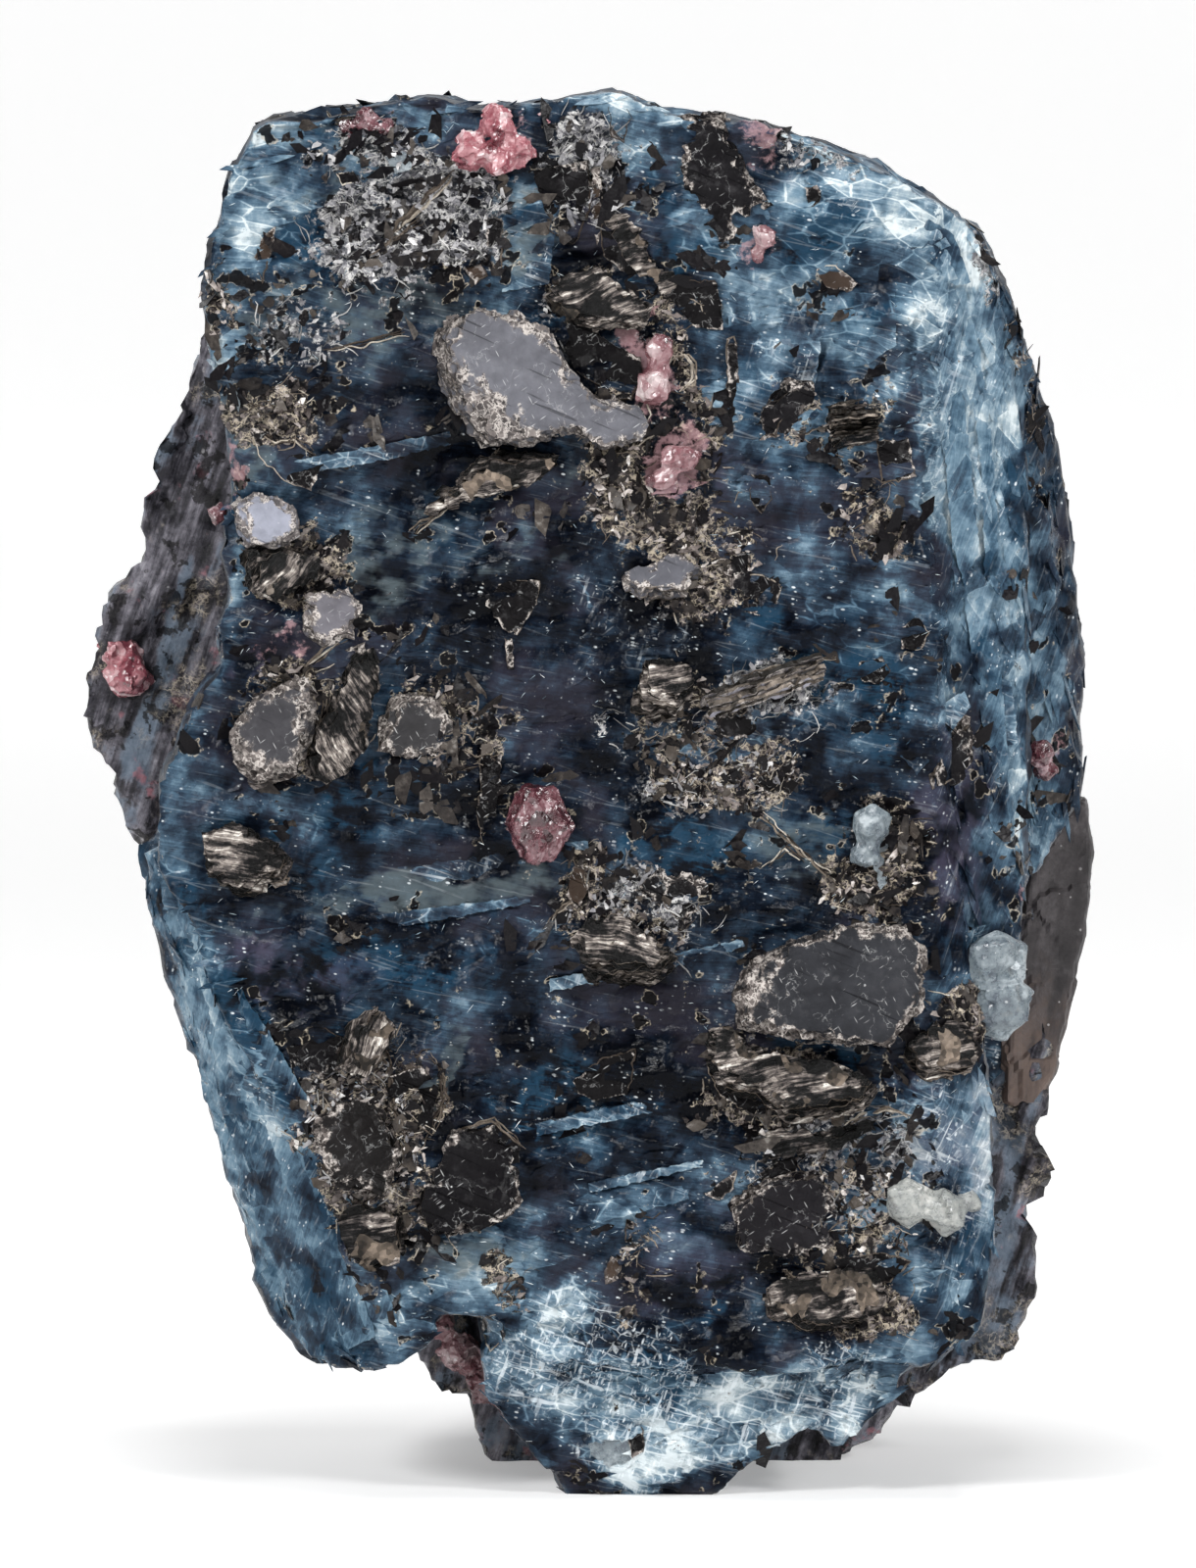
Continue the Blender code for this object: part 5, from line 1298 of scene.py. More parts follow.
class Scatter(NodeMaker):
    # one tree for all: a mask picks where, a direction picks how the flakes lie
    inputKinds = {"Geometry": ["Host"], "Collection": ["Flakes"], "String": ["Mask"], "Int": ["Seed"],
                  "Vector": ["Along"], "Material": ["Finish"],
                  "Float": ["Density", "Low", "High", "Smallest", "Largest", "Tilt", "Lift", "Aligned"]}

    def __init__(self):
        tree = bpy.data.node_groups.new("strewn", "GeometryNodeTree")
        super().__init__(tree)
        self.inputs = {}
        for kind, names in self.inputKinds.items():
            for name in names:
                made = tree.interface.new_socket(name=name, in_out="INPUT", socket_type="NodeSocket" + kind)
                self.inputs[name] = made.identifier
        tree.interface.new_socket(name="Strewn", in_out="OUTPUT", socket_type="NodeSocketGeometry")
        start = tree.nodes.new("NodeGroupInput")
        given = {name: Signal(self, start.outputs[name]) for name in self.inputs}
        seed, tilt, aligned = given["Seed"], given["Tilt"], given["Aligned"]
        mask = self.node("GeometryNodeInputNamedAttribute", {"data_type": "FLOAT"}, {"Name": given["Mask"]},
                         "Attribute")
        density = self.between(mask, given["Low"], given["High"]) * given["Density"]
        spread = self.node("GeometryNodeDistributePointsOnFaces", {"distribute_method": "RANDOM"},
                           {"Mesh": given["Host"], "Density": density, "Seed": seed})
        normal = Signal(self, spread.outputs["Normal"])
        upright = self.node("FunctionNodeAlignRotationToVector", {"axis": "Z"}, {"Vector": normal}, "Rotation")
        laid = self.node("FunctionNodeAlignRotationToVector", {"axis": "X", "pivot_axis": "Z"},
                         {"Rotation": upright, "Factor": aligned, "Vector": given["Along"]}, "Rotation")
        spin = (1 - aligned) * math.pi + 0.12
        least, most = [self.node("ShaderNodeCombineXYZ", {}, {"X": tilt * way, "Y": tilt * way, "Z": spin * way},
                                 "Vector") for way in (-1, 1)]
        turn = self.node("FunctionNodeRandomValue", {"data_type": "FLOAT_VECTOR"},
                         {"Min": least, "Max": most, "Seed": seed}, "Value")
        asTurn = self.node("FunctionNodeEulerToRotation", {}, {"Euler": turn}, "Rotation")
        turned = self.node("FunctionNodeRotateRotation", {"rotation_space": "LOCAL"},
                           {"Rotation": laid, "Rotate By": asTurn}, "Rotation")
        size = self.node("FunctionNodeRandomValue", {"data_type": "FLOAT"},
                         {"Min_001": given["Smallest"], "Max_001": given["Largest"], "Seed": seed + 7}, "Value_001")
        flakes = self.node("GeometryNodeCollectionInfo", {}, {
            "Collection": given["Flakes"], "Separate Children": True, "Reset Children": True}, "Instances")
        lift = self.node("ShaderNodeVectorMath", {"operation": "SCALE"},
                         {"Vector": normal, "Scale": given["Lift"]}, "Vector")
        points = self.node("GeometryNodeSetPosition", {}, {
            "Geometry": Signal(self, spread.outputs["Points"]), "Offset": lift}, "Geometry")
        strewn = self.node("GeometryNodeInstanceOnPoints", {}, {
            "Points": points, "Instance": flakes, "Pick Instance": True, "Rotation": turned, "Scale": size},
            "Instances")
        tone = self.node("FunctionNodeRandomValue", {"data_type": "FLOAT"}, {"Seed": seed + 19}, "Value_001")
        toned = self.node("GeometryNodeStoreNamedAttribute", {"data_type": "FLOAT", "domain": "INSTANCE"},
                          {"Geometry": strewn, "Name": "tone", "Value": tone}, "Geometry")
        real = self.node("GeometryNodeRealizeInstances", {}, {"Geometry": toned}, "Geometry")
        finished = self.node("GeometryNodeSetMaterial", {}, {"Geometry": real, "Material": given["Finish"]},
                             "Geometry")
        tree.links.new(finished.socket, tree.nodes.new("NodeGroupOutput").inputs["Strewn"])

    def strew(self, name, host, **values):
        holder = meshObject(name + "Host", host.data)
        modifier = holder.modifiers.new("strewn", "NODES")
        modifier.node_group = self.tree
        for key, value in values.items():
            modifier[self.inputs[key]] = value
        mesh = evaluatedMesh(holder)
        bpy.data.objects.remove(holder)
        ownFinish = values["Finish"] != host.data.materials[0]
        spares = (*readMasks, *placingMasks) if ownFinish else placingMasks
        for spare in [layer.name for layer in mesh.attributes if layer.name in spares]:
            mesh.attributes.remove(mesh.attributes[spare])
        return meshObject(name, mesh)


# corners, thickness, seed, how long for its width, how much one end is thicker
flakeShapes = {
    "micaScale": [(6, 0.07, 1, 1.3), (5, 0.1, 2, 2.4), (6, 0.06, 3, 1.6), (7, 0.12, 4), (5, 0.08, 5, 3.0)],
    "micaStack": [(5, 0.34, 11), (6, 0.28, 12, 1.4), (4, 0.4, 13, 1.2)],
    "lath": [(5, 0.24, 21, 3.2, 0.05), (6, 0.18, 22, 4.6), (4, 0.2, 23, 2.4, 0.08), (5, 0.16, 24, 6.0)],
    "block": [(4, 0.8, 31), (4, 0.6, 32, 1.5, 0.2), (5, 0.7, 33, 1.2, -0.2), (4, 0.5, 34, 1.9)],
    "needle": [(4, 0.35, 41, 9.0), (4, 0.3, 42, 14.0)],
}
# What is strewn: flakes, mask with the range over which it fills in, number for each square millimetre, size
# in millimetres, tilt, lift, share that is aligned and the way it runs, and its finish
strewn = {
    "silver_flakes": ("micaScale", "silver", 0.25, 0.85, 20.0, 0.05, 0.24, 0.75, 0.0, 0.0, None, "silverFlakes"),
    "bronze_flakes": ("micaScale", "bronze", 0.3, 0.95, 18.0, 0.05, 0.25, 0.75, 0.0, 0.0, None, "bronzeFlakes"),
    "bronze_stacks": ("micaStack", "bronze", 0.3, 0.8, 1.5, 0.22, 0.46, 0.7, 0.0, 0.0, None, "micaStacks"),
    "silver_stacks": ("micaStack", "silver", 0.3, 0.8, 1.3, 0.22, 0.46, 0.7, 0.0, 0.0, None, "micaStacks"),
    "black_scales": ("micaScale", "cluster", 0.58, 0.95, 3.4, 0.14, 0.62, 0.5, 0.0, 0.0, None, "blackScales"),
    "face_laths": ("lath", "glassy", 0.2, 0.8, 1.7, 0.1, 0.3, 0.1, -0.01, 0.97, "trace", "blueKyanite"),
    "flank_laths": ("lath", "flankSide", 0.2, 0.8, 2.0, 0.12, 0.34, 0.1, -0.01, 0.97, "fibre", "blueKyanite"),
    "pale_blocks": ("block", "frost", 0.35, 0.85, 4.5, 0.12, 0.36, 0.22, -0.03, 0.9, "trace", "blueKyanite"),
    "glint_needles": ("needle", "sparkle", 0.1, 0.9, 4.6, 0.01, 0.028, 0.35, 0.02, 0.7, "trace", "brightGlints"),
}
flakeSlots = {"silver": "mica_grey", "bronze": "mica_bronze", "black": "mica_black"}
# shades of the flakes and sheet edges from dark to light, then how rough and how shiny
toneShades = {
    "silverFlakes": (crustShades["silver"], 0.12, 0.12),
    "bronzeFlakes": (crustShades["bronze"], 0.12, 0.12),
    "micaStacks": ([(0.0, (0.004, 0.004, 0.005)), (0.45, (0.012, 0.011, 0.012)), (0.7, (0.06, 0.05, 0.042)),
                    (0.88, (0.105, 0.092, 0.082)), (1.0, (0.27, 0.25, 0.23))], 0.12, 0.1),
    "blackScales": ([(0.0, (0.003, 0.003, 0.004)), (0.55, (0.009, 0.008, 0.009)), (0.74, (0.03, 0.026, 0.024)),
                     (0.88, (0.075, 0.065, 0.058)), (1.0, (0.24, 0.225, 0.205))], 0.1, 0.08),
    "brightGlints": ([(0.0, kyaniteLook["shades"][4][1]), (0.5, kyaniteLook["shades"][5][1]),
                      (1.0, (0.85, 0.88, 0.9))], 0.15, 0.5),
    "creamSheetEdges": ([(0.0, (0.012, 0.009, 0.008)), (0.4, (0.07, 0.056, 0.046)), (0.7, (0.25, 0.21, 0.17)),
                         (1.0, (0.74, 0.69, 0.6))], 0.14, 0.2),
    "silverSheetEdges": ([(0.0, (0.03, 0.03, 0.031)), (0.35, (0.13, 0.128, 0.126)), (0.65, (0.33, 0.325, 0.32)),
                          (1.0, (0.74, 0.73, 0.71))], 0.22, 0.3),
}


def toneFinish(name):
    # each flake or thread has its own shade
    shades, rough, level = toneShades[name]
    finish = Finish(name)
    grain = finish.cloud(3.4, 5.0, 0.65)
    finish.colour = finish.ramp(finish.mask("tone") * 0.7 + (grain - 0.5) * 0.7 + 0.16, shades)
    rough = finish.between(grain, 0.3, 0.7) * 0.2 + rough
    return finish.setOver(finish.tiltedCells(5.0) * 0.25 + grain * 0.04, 0.7, rough=rough, level=level)


def strewAll(kyanite):
    collections = {name: flakeCollection(name, shapes) for name, shapes in flakeShapes.items()}
    finishes = {"blueKyanite": kyanite.data.materials[0]}
    ways = {None: 0.0, "trace": stone["traceAngle"], "fibre": stone["fibreAngle"]}
    scatter = Scatter()
    for index, (name, values) in enumerate(strewn.items()):
        flakes, mask, low, high, density, smallest, largest, tilt, lift, aligned, way, finish = values
        if finish not in finishes:
            finishes[finish] = toneFinish(finish)
        turn = math.radians(ways[way])
        piece = scatter.strew(
            name, kyanite, Flakes=collections[flakes], Mask=mask, Density=density / mm / mm, Low=low, High=high,
            Smallest=smallest, Largest=largest, Tilt=tilt, Lift=lift * mm, Aligned=aligned, Seed=100 + index,
            Along=(math.cos(turn), 0.0, math.sin(turn)), Finish=finishes[finish])
        slotName = flakeSlots.get(name.split("_")[0])
        if slotName:
            settle(piece, slotName)
        else:
            settle(piece, "kyanite", "kyanite_blades")
        print(name, len(piece.data.polygons), "triangles")
    for collection in collections.values():
        for flake in list(collection.objects):
            removeObject(flake)
        bpy.data.collections.remove(collection)


strewAll(kyanite)
print("flakes strewn")


# Small plates, pits and crinkled sheet edges, laid on the front where the picture shows them
shardLook = {
    "above": 0.05, "below": 0.45, "spacing": 0.12, "jitter": 0.072, "jitterSize": 0.16, "grid": 0.16,
    "rimWidth": 0.08, "wave": 0.05, "edgeShare": (0.35, 0.75), "edgeWidth": (0.012, 0.032),
}
threadLook = {"step": 0.07, "tries": 12, "fill": 1.3, "stray": 45}
# outlines in picture points
shards = {
    "black": [
        [
            (577, 332), (596, 323), (616, 346), (653, 366), (655, 385), (644, 408), (625, 405), (608, 391),
            (588, 380), (577, 357)],
        [(497, 223), (513, 224), (512, 272), (505, 276), (497, 250)],
        [(893, 450), (926, 447), (933, 486), (900, 492)],
        [(613, 230), (632, 226), (650, 245), (656, 275), (672, 300), (660, 306), (640, 280), (616, 262)],
        [(670, 288), (730, 287), (736, 312), (737, 337), (708, 335), (690, 312)],
        [(741, 345), (750, 345), (754, 390), (752, 435), (744, 432)],
        [(744, 537), (768, 540), (766, 566), (758, 587), (742, 580)],
        [(748, 590), (775, 585), (797, 598), (792, 616), (766, 627), (746, 618)],
        [(767, 483), (785, 487), (787, 510), (777, 523), (765, 508)],
        [(495, 613), (515, 590), (550, 593), (547, 616), (527, 648), (512, 640)],
        [(515, 650), (523, 652), (524, 684), (518, 682)],
        [(655, 676), (682, 670), (684, 708), (662, 716), (653, 700)],
        [(733, 732), (773, 729), (770, 748), (748, 756), (735, 750)],
        [(772, 795), (790, 780), (814, 800), (806, 811), (780, 808)],
        [(795, 786), (803, 771), (812, 776), (806, 792)],
        [(488, 772), (512, 770), (510, 800), (505, 830), (512, 858), (494, 864), (486, 830), (492, 800)],
        [(679, 903), (700, 896), (715, 905), (712, 930), (690, 937), (676, 922)],
        [(585, 1105), (612, 1082), (647, 1072), (645, 1100), (640, 1118), (605, 1125), (590, 1118)],
        [(718, 1222), (740, 1205), (752, 1196), (748, 1215), (735, 1228)],
        [(762, 1212), (786, 1190), (815, 1182), (812, 1200), (790, 1218), (768, 1222)],
        [(639, 1249), (647, 1250), (646, 1272), (638, 1270)], [(346, 178), (362, 175), (368, 186), (350, 189)],
        [(292, 1060), (325, 1046), (352, 1062), (350, 1090), (318, 1104), (296, 1090)],
        [(392, 1100), (430, 1088), (446, 1110), (440, 1150), (415, 1156), (398, 1130)],
        [(468, 1160), (505, 1148), (530, 1172), (528, 1215), (496, 1225), (470, 1200)],
        [(953, 790), (965, 760), (988, 745), (992, 765), (982, 790), (962, 800)],
        [(918, 640), (936, 630), (948, 645), (938, 662), (920, 662)],
        [(876, 676), (900, 671), (908, 684), (896, 698), (878, 694)],
        [(492, 1350), (512, 1342), (514, 1372), (500, 1386), (490, 1370)],
        [(255, 436), (300, 448), (332, 470), (318, 500), (292, 490), (270, 470)],
        [(338, 668), (372, 655), (380, 700), (366, 745), (345, 770), (336, 720)],
        [(545, 175), (600, 165), (602, 215), (585, 250), (560, 235), (550, 200)],
        [(820, 192), (834, 190), (836, 206), (824, 212)],
        [(720, 1086), (760, 1100), (800, 1120), (840, 1118), (820, 1140), (770, 1140), (735, 1118)],
        [(640, 1470), (655, 1466), (658, 1490), (645, 1500)],
        [(850, 1288), (900, 1280), (930, 1290), (910, 1310), (870, 1316)]],
    "brown": [
        [(620, 97), (634, 96), (642, 122), (636, 146), (624, 140)],
        [(829, 275), (850, 271), (874, 290), (868, 299), (842, 294)],
        [(261, 262), (270, 242), (282, 232), (280, 248), (268, 290)],
        [(472, 272), (490, 269), (497, 280), (486, 290)],
        [(778, 448), (776, 422), (792, 405), (808, 408), (804, 436), (792, 446)],
        [(616, 1300), (624, 1285), (634, 1290), (628, 1310), (618, 1314)],
        [(772, 1020), (790, 1004), (802, 1010), (800, 1035), (785, 1050), (774, 1040)],
        [(583, 886), (594, 880), (600, 906), (588, 930), (578, 915)],
        [(604, 175), (612, 172), (616, 220), (610, 250), (604, 230)]],
    "prism": [
        [(160, 925), (182, 922), (222, 1070), (270, 1232), (330, 1396), (312, 1398), (252, 1240), (204, 1078)],
        [(180, 922), (205, 930), (245, 1068), (295, 1220), (355, 1388), (326, 1396), (266, 1230), (219, 1068)],
        [(203, 940), (228, 960), (271, 1075), (321, 1200), (383, 1368), (352, 1386), (291, 1218), (242, 1070)],
        [(240, 1010), (270, 1046), (318, 1130), (350, 1210), (408, 1356), (376, 1372), (314, 1207), (264, 1092)],
        [(948, 300), (966, 296), (985, 420), (1000, 560), (985, 600), (972, 560), (960, 420)],
        [(978, 300), (992, 310), (1012, 440), (1020, 560), (1006, 590), (1002, 480)],
        [(985, 620), (1004, 610), (1024, 700), (1030, 780), (1012, 800), (1000, 720)],
        [(930, 215), (972, 240), (990, 290), (974, 292), (940, 262)]],
    "glass": [
        [(162, 902), (300, 880), (450, 872), (600, 858), (604, 876), (470, 900), (330, 916), (165, 932)],
        [(260, 950), (420, 930), (540, 915), (542, 922), (420, 944), (262, 962)],
        [(560, 1000), (680, 975), (760, 958), (762, 965), (680, 990), (562, 1012)],
        [(540, 1150), (640, 1128), (700, 1120), (702, 1128), (640, 1142), (542, 1162)],
        [(440, 1262), (560, 1240), (700, 1210), (704, 1226), (580, 1258), (445, 1282)],
        [(600, 1210), (740, 1180), (742, 1186), (602, 1220)],
        [(300, 470), (420, 448), (460, 440), (462, 452), (400, 468), (304, 484)],
        [(513, 222), (552, 204), (566, 236), (560, 290), (512, 298)],
        [(742, 318), (800, 310), (838, 330), (832, 392), (800, 400), (764, 440), (748, 436)],
        [(872, 300), (912, 300), (914, 352), (884, 372), (864, 350)],
        [(1012, 1080), (1040, 1070), (1046, 1120), (1020, 1140)],
        [(918, 770), (945, 726), (985, 706), (990, 722), (968, 752), (936, 790)],
        [(1012, 690), (1034, 700), (1040, 760), (1022, 770), (1010, 730)],
        [(842, 1400), (884, 1392), (886, 1420), (866, 1490), (846, 1470)],
        [(880, 1386), (916, 1392), (920, 1420), (890, 1440)],
        [(985, 952), (1020, 944), (1044, 980), (1040, 1030), (1008, 1050), (990, 1010)]],
    "pale": [
        [(395, 162), (408, 154), (420, 160), (420, 174), (404, 178)],
        [(221, 372), (236, 380), (246, 412), (244, 432), (232, 424), (222, 400)],
        [(600, 1475), (640, 1482), (650, 1500), (620, 1510), (602, 1496)],
        [(886, 838), (898, 824), (909, 846), (903, 880), (905, 902), (898, 908), (890, 880)]],
}
# what the kyanite's finish is told on the laths and prisms
shardMasks = {
    "glass": {"veil": 0.1, "frost": 0.45, "pale": 0.16, "clean": 1.0, "facing": 1.0},
    "prism": {"pale": 0.56, "deep": 0.55, "flank": 1.0, "clean": 1.0, "facing": 1.0},
}
# sheet edges seen as thin cream or golden lines: half width in millimetres, path in picture points
sheetEdges = [
    (0.1, [(393, 244), (415, 222), (440, 198), (461, 179)]), (0.06, [(378, 262), (400, 246), (428, 224)]),
    (0.045, [(331, 358), (365, 350), (414, 338)]), (0.07, [(419, 540), (452, 520), (484, 496), (507, 458)]),
    (0.055, [(773, 830), (806, 860), (832, 884), (855, 904)]), (0.045, [(779, 886), (800, 866), (817, 877)]),
    (0.05, [(583, 877), (594, 901), (585, 918), (568, 930), (559, 942)]),
    (0.09, [(919, 1081), (940, 1077), (962, 1071)]), (0.07, [(775, 1010), (790, 990), (806, 976), (812, 965)]),
    (0.06, [(352, 1062), (368, 1050), (384, 1060), (396, 1090), (398, 1130), (412, 1158)]),
    (0.05, [(440, 1150), (452, 1120), (448, 1092), (436, 1078)]),
    (0.05, [(466, 1158), (480, 1148), (500, 1144), (530, 1170)]),
    (0.06, [(300, 700), (312, 680), (330, 662), (350, 650)]), (0.05, [(312, 770), (326, 740), (330, 712)]),
    (0.055, [(681, 372), (686, 362), (698, 362), (706, 372), (704, 390), (694, 400)]),
    (0.05, [(262, 437), (282, 452), (300, 448), (318, 462)]),
    (0.05, [(745, 1236), (768, 1222), (800, 1218), (836, 1232)]),
    (0.05, [(755, 690), (790, 682), (826, 674), (850, 670)]), (0.05, [(700, 716), (730, 708), (760, 700)]),
    (0.06, [(862, 1150), (880, 1138), (904, 1132), (926, 1140)]),
    (0.07, [(800, 1300), (826, 1318), (856, 1330), (884, 1336)]),
    (0.06, [(246, 560), (262, 578), (290, 586), (318, 580)]), (0.05, [(1000, 1032), (1012, 1040), (1008, 1052)]),
]


class Front:
    # finds how deep the surface lies behind a place of the picture
    def __init__(self, *hosts):
        self.host = hosts[0].data
        self.trees = []
        for host in hosts:
            bm = bmesh.new()
            bm.from_mesh(host.data)
            self.trees.append(BVHTree.FromBMesh(bm))
            bm.free()

    def hits(self, x, z):
        return [tree.ray_cast(Vector((x, -30, z)) * mm, Vector((0, 1, 0))) for tree in self.trees]

    def depth(self, x, z):
        return min((hit[0].y / mm for hit in self.hits(x, z) if hit[0] is not None), default=None)

    def maskAt(self, name, x, z):
        # how strong a mask of the kyanite is there
        place, _, face, _ = self.hits(x, z)[0]
        if place is None:
            return 0.0
        values = self.host.attributes[name].data
        corners = self.host.polygons[face].vertices
        return sum(values[corner].value for corner in corners) / len(corners)

    def plane(self, places):
        # the plane that fits the surface under these places, as depth = a + b x + c z, a little less tilted
        rows = [(1.0, x, z, self.depth(x, z)) for x, z in places]
        rows = np.array([row for row in rows if row[3] is not None])
        if len(rows) < 4:
            return None
        solved = np.linalg.lstsq(rows[:, :3], rows[:, 3], rcond=None)[0]
        return solved * (1, 0.7, 0.7) + (0.3 * np.dot(solved[1:], rows[:, 1:3].mean(axis=0)), 0, 0)


def addThread(build, path, halfWidth, tone):
    # a thin crinkled strip, closed at both ends
    start = len(build["points"])
    count = len(path)
    for index, point in enumerate(path):
        run = path[min(index + 1, count - 1)] - path[max(index - 1, 0)]
        half = halfWidth * (0.35 + 0.65 * math.sin(math.pi * (index + 0.5) / count))
        side = Vector((run.z, 0, -run.x)).normalized() * half
        build["points"] += [point + side, point - Vector((0, half * 1.3, 0)), point - side,
                            point + Vector((0, half, 0))]
        build["tones"] += [tone] * 4
    for base in range(start, start + (count - 1) * 4, 4):
        for corner in range(4):
            after = (corner + 1) % 4
            build["faces"].append((base + corner, base + after, base + 4 + after, base + 4 + corner))
    last = start + (count - 1) * 4
    build["faces"] += [(start + 3, start + 2, start + 1, start), (last, last + 1, last + 2, last + 3)]


def laidThread(build, front, corners, halfWidth, draw, above=0.03, wander=0.05):
    corners = [Vector(corner) for corner in corners]
    shift = Vector((draw.uniform(-50, 50), draw.uniform(-50, 50), 0))
    path = []
    for place in divided(zip(corners, corners[1:]), threadLook["step"]) + corners[-1:]:
        at = Vector((place.x, place.y, 0)) * 3 + shift
        x = place.x + wander * noise.noise(at)
        z = place.y + wander * noise.noise(at + Vector((7, 3, 1)))
        depth = front.depth(x, z)
        if depth is not None:
            path.append(Vector((x, depth - above - 0.03 * noise.noise(at * 2.1), z)))
    if len(path) > 2:
        addThread(build, path, halfWidth, draw.random())


def layShards(name, kind, front, seed, finishes, slotName, threads=None):
    draw = random.Random(seed)
    build = emptyBuild()
    for points in shards[kind]:
        corners = [Vector(onFace(*point)) for point in points]
        plane = front.plane(corners + [sum(corners, Vector((0, 0))) / len(corners)])
        if plane is None:
            continue
        ring = []
        shift = Vector((draw.uniform(-9, 9), draw.uniform(-9, 9), 0))
        for place in divided(pairsOf(corners), shardLook["spacing"]):
            at = (Vector((place.x, place.y, 0)) + shift) / shardLook["jitterSize"]
            aside = Vector((noise.noise(at), noise.noise(at + Vector((5, 2, 8)))))
            ring.append(place + aside * shardLook["jitter"])

        def put(place, level):
            return Vector((place.x, plane[0] + plane[1] * place.x + plane[2] * place.y - level, place.y))

        addSheet(build, ring, -shardLook["below"], shardLook["above"], shardLook["grid"], put,
                 shardLook["rimWidth"], shardLook["wave"], draw.random())
        # crinkled sheet edges run along parts of the border
        first = draw.randrange(len(ring))
        length = int(len(ring) * draw.uniform(*shardLook["edgeShare"]))
        border = [ring[(first + index) % len(ring)] for index in range(length)]
        if len(border) > 3 and threads is not None:
            laidThread(threads, front, border, draw.uniform(*shardLook["edgeWidth"]), draw)
    return settle(buildMesh(name, build, *finishes), slotName)


def crinkles(build, front, name, count, seed):
    # crumpled sheet edges: short curling threads, where mica is crushed
    draw = random.Random(seed)
    made = 0
    for _ in range(count * threadLook["tries"]):
        if made == count:
            break
        x, z = draw.uniform(-13, 13), draw.uniform(0.5, 39.5)
        if draw.random() > front.maskAt(name, x, z) * threadLook["fill"]:
            continue
        heading = math.radians(draw.gauss(stone["traceAngle"], threadLook["stray"]))
        bend = draw.uniform(-0.1, 0.1)
        corners = [(x, z)]
        for _ in range(draw.randint(3, 9)):
            heading += bend + draw.choice((0, 0, draw.uniform(-0.8, 0.8)))
            step = draw.uniform(0.04, 0.12)
            x, z = x + step * math.cos(heading), z + step * math.sin(heading)
            corners.append((x, z))
        laidThread(build, front, corners, draw.uniform(0.008, 0.024), draw, draw.uniform(0.01, 0.07), 0.03)
        made += 1


def layShardsAndThreads(kyanite, schist):
    front = Front(kyanite, schist)
    threads = {"bronze": emptyBuild(), "silver": emptyBuild()}
    cream = threads["bronze"]
    blue = (kyanite.data.materials[0],) * 2
    for name, kind, seed in (("glassy_laths", "glass", 60), ("flank_prisms", "prism", 59)):
        piece = layShards(name, kind, front, seed, blue, "kyanite")
        rims = readMask(piece.data, "rim")
        for mask, share in shardMasks[kind].items():
            setMask(piece.data, mask, share + (0.2 if mask == "pale" else 0.0) * rims)
    darkEdge = makeMicaEdge("smallPlateEdge", edgeTints["black"])
    blackFace = makeMicaFace("blackPlate", (0.0045, 0.004, 0.0045))
    brownFace = makeMicaFace("brownPlate", (0.042, 0.029, 0.022))
    layShards("small_black_plates", "black", front, 61, (blackFace, darkEdge), "mica_black", cream)
    layShards("small_brown_plates", "brown", front, 62, (brownFace, darkEdge), "mica_bronze", cream)
    paleFace = makeQuartzFinish("paleChips", quartzShades["bluish"])
    layShards("small_pale_chips", "pale", front, 63, (paleFace, paleFace), "quartz")
    draw = random.Random(64)
    for halfWidth, corners in sheetEdges:
        laidThread(cream, front, [onFace(*point) for point in corners], halfWidth * 0.7, draw, 0.04, 0.09)
        for _ in range(2):
            aside = [onFace(x + draw.uniform(2, 5), y + draw.uniform(-4, 4)) for x, y in corners]
            laidThread(cream, front, aside, halfWidth * 0.5, draw, 0.05, 0.09)
    for name, kind, count, seed, slotName in (("cream", "bronze", 560, 65, "mica_bronze"),
                                              ("silver", "silver", 380, 66, "mica_grey")):
        crinkles(threads[kind], front, kind, count, seed)
        settle(buildMesh(name + "_sheet_edges", threads[kind], toneFinish(name + "SheetEdges")), slotName)


layShardsAndThreads(kyanite, schist)
print("small plates and sheet edges laid")


# Floor, backdrop and light
studio = {
    "floorTone": (0.74, 0.74, 0.74), "behind": 720.0, "ahead": 900.0, "halfWidth": 1400.0, "bend": 160.0,
    "wallTop": 1000.0, "nearGlow": (0.3, 0.3, 0.3), "farGlow": (0.6, 0.6, 0.6), "frontGlow": (0.3, 0.3, 0.3),
    "nearby": 110.0, "faraway": 420.0, "bendSteps": 12, "glowTurns": (-300, 60), "lampsAim": (0, 0, 20),
    "tent": 0.16,
}


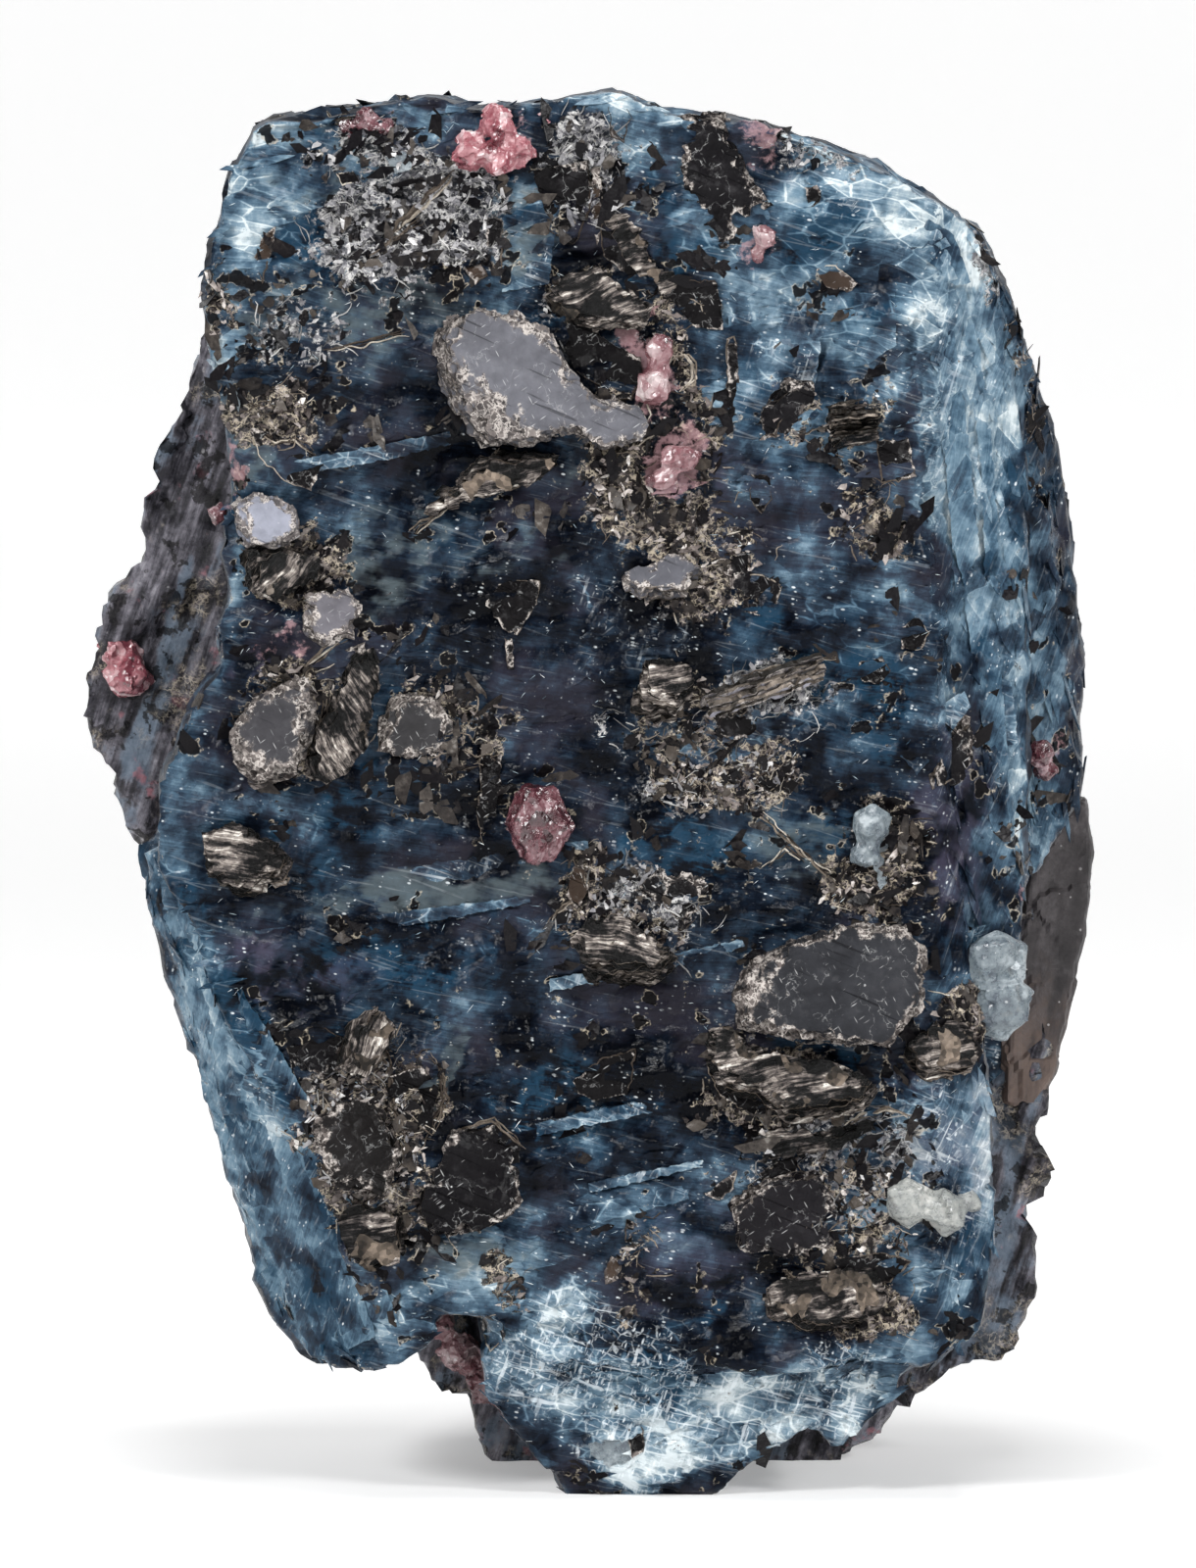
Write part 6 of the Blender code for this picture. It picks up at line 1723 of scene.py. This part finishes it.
def makeBackdrop():
    # the floor runs up into the wall in one sweep
    profile = [(-studio["ahead"], 0.0)]
    bend, behind, steps = studio["bend"], studio["behind"], studio["bendSteps"]
    for step in range(steps + 1):
        turn = math.pi / 2 * step / steps
        profile.append((behind + bend * math.sin(turn), bend * (1 - math.cos(turn))))
    profile.append((behind + bend, studio["wallTop"]))
    bm = bmesh.new()
    rows = []
    for y, z in profile:
        rows.append([bm.verts.new(Vector((side * studio["halfWidth"], y, z)) * mm) for side in (-1, 1)])
    for low, high in zip(rows, rows[1:]):
        bm.faces.new((low[0], low[1], high[1], high[0])).smooth = True
    finish = Finish("palePaper")
    fibre = finish.cloud(0.6, 5.0, 0.6)
    tone = finish.mix(fibre, studio["floorTone"], tinted(studio["floorTone"], 1.03))
    # the paper glows towards its far end, as under studio light from the sides
    away = finish.vector("LENGTH", finish.place, (0, 0, 0), "Value")
    ahead = finish.mix(finish.between(finish.axis("Y"), *studio["glowTurns"]), studio["frontGlow"], studio["farGlow"])
    glow = finish.mix(finish.between(away, studio["nearby"], studio["faraway"]), studio["nearGlow"], ahead)
    paper = finish.set(color=tone, rough=0.9, glow=glow, glowing=1.0, level=0.1)
    meshObject("paperSweep", meshOf("paperSweep", bm), paper)


lamps = {
    "upperLeft": {"place": (-210, -250, 230), "size": 90, "watts": 1.1},
    "upperRight": {"place": (240, -220, 190), "size": 80, "watts": 0.8},
    "above": {"place": (0, -40, 300), "size": 110, "watts": 0.5},
    "front": {"place": (30, -420, 60), "size": 80, "watts": 0.2},
}


def makeLight():
    for name, lamp in lamps.items():
        light = bpy.data.lights.new(name, "AREA")
        light.shape = "SQUARE"
        light.size = lamp["size"] * mm
        light.energy = lamp["watts"]
        holder = bpy.data.objects.new(name, light)
        bpy.context.scene.collection.objects.link(holder)
        holder.location = Vector(lamp["place"]) * mm
        aim = Vector(studio["lampsAim"]) - Vector(lamp["place"])
        holder.rotation_euler = aim.to_track_quat("-Z", "Y").to_euler()
    world = bpy.data.worlds.new("whiteTent")
    world.use_nodes = True
    background = world.node_tree.nodes["Background"].inputs
    background["Color"].default_value = (1, 1, 1, 1)
    background["Strength"].default_value = studio["tent"]
    bpy.context.scene.world = world
    bpy.context.scene.view_settings.view_transform = "Standard"


makeBackdrop()
makeLight()
print("studio ready")
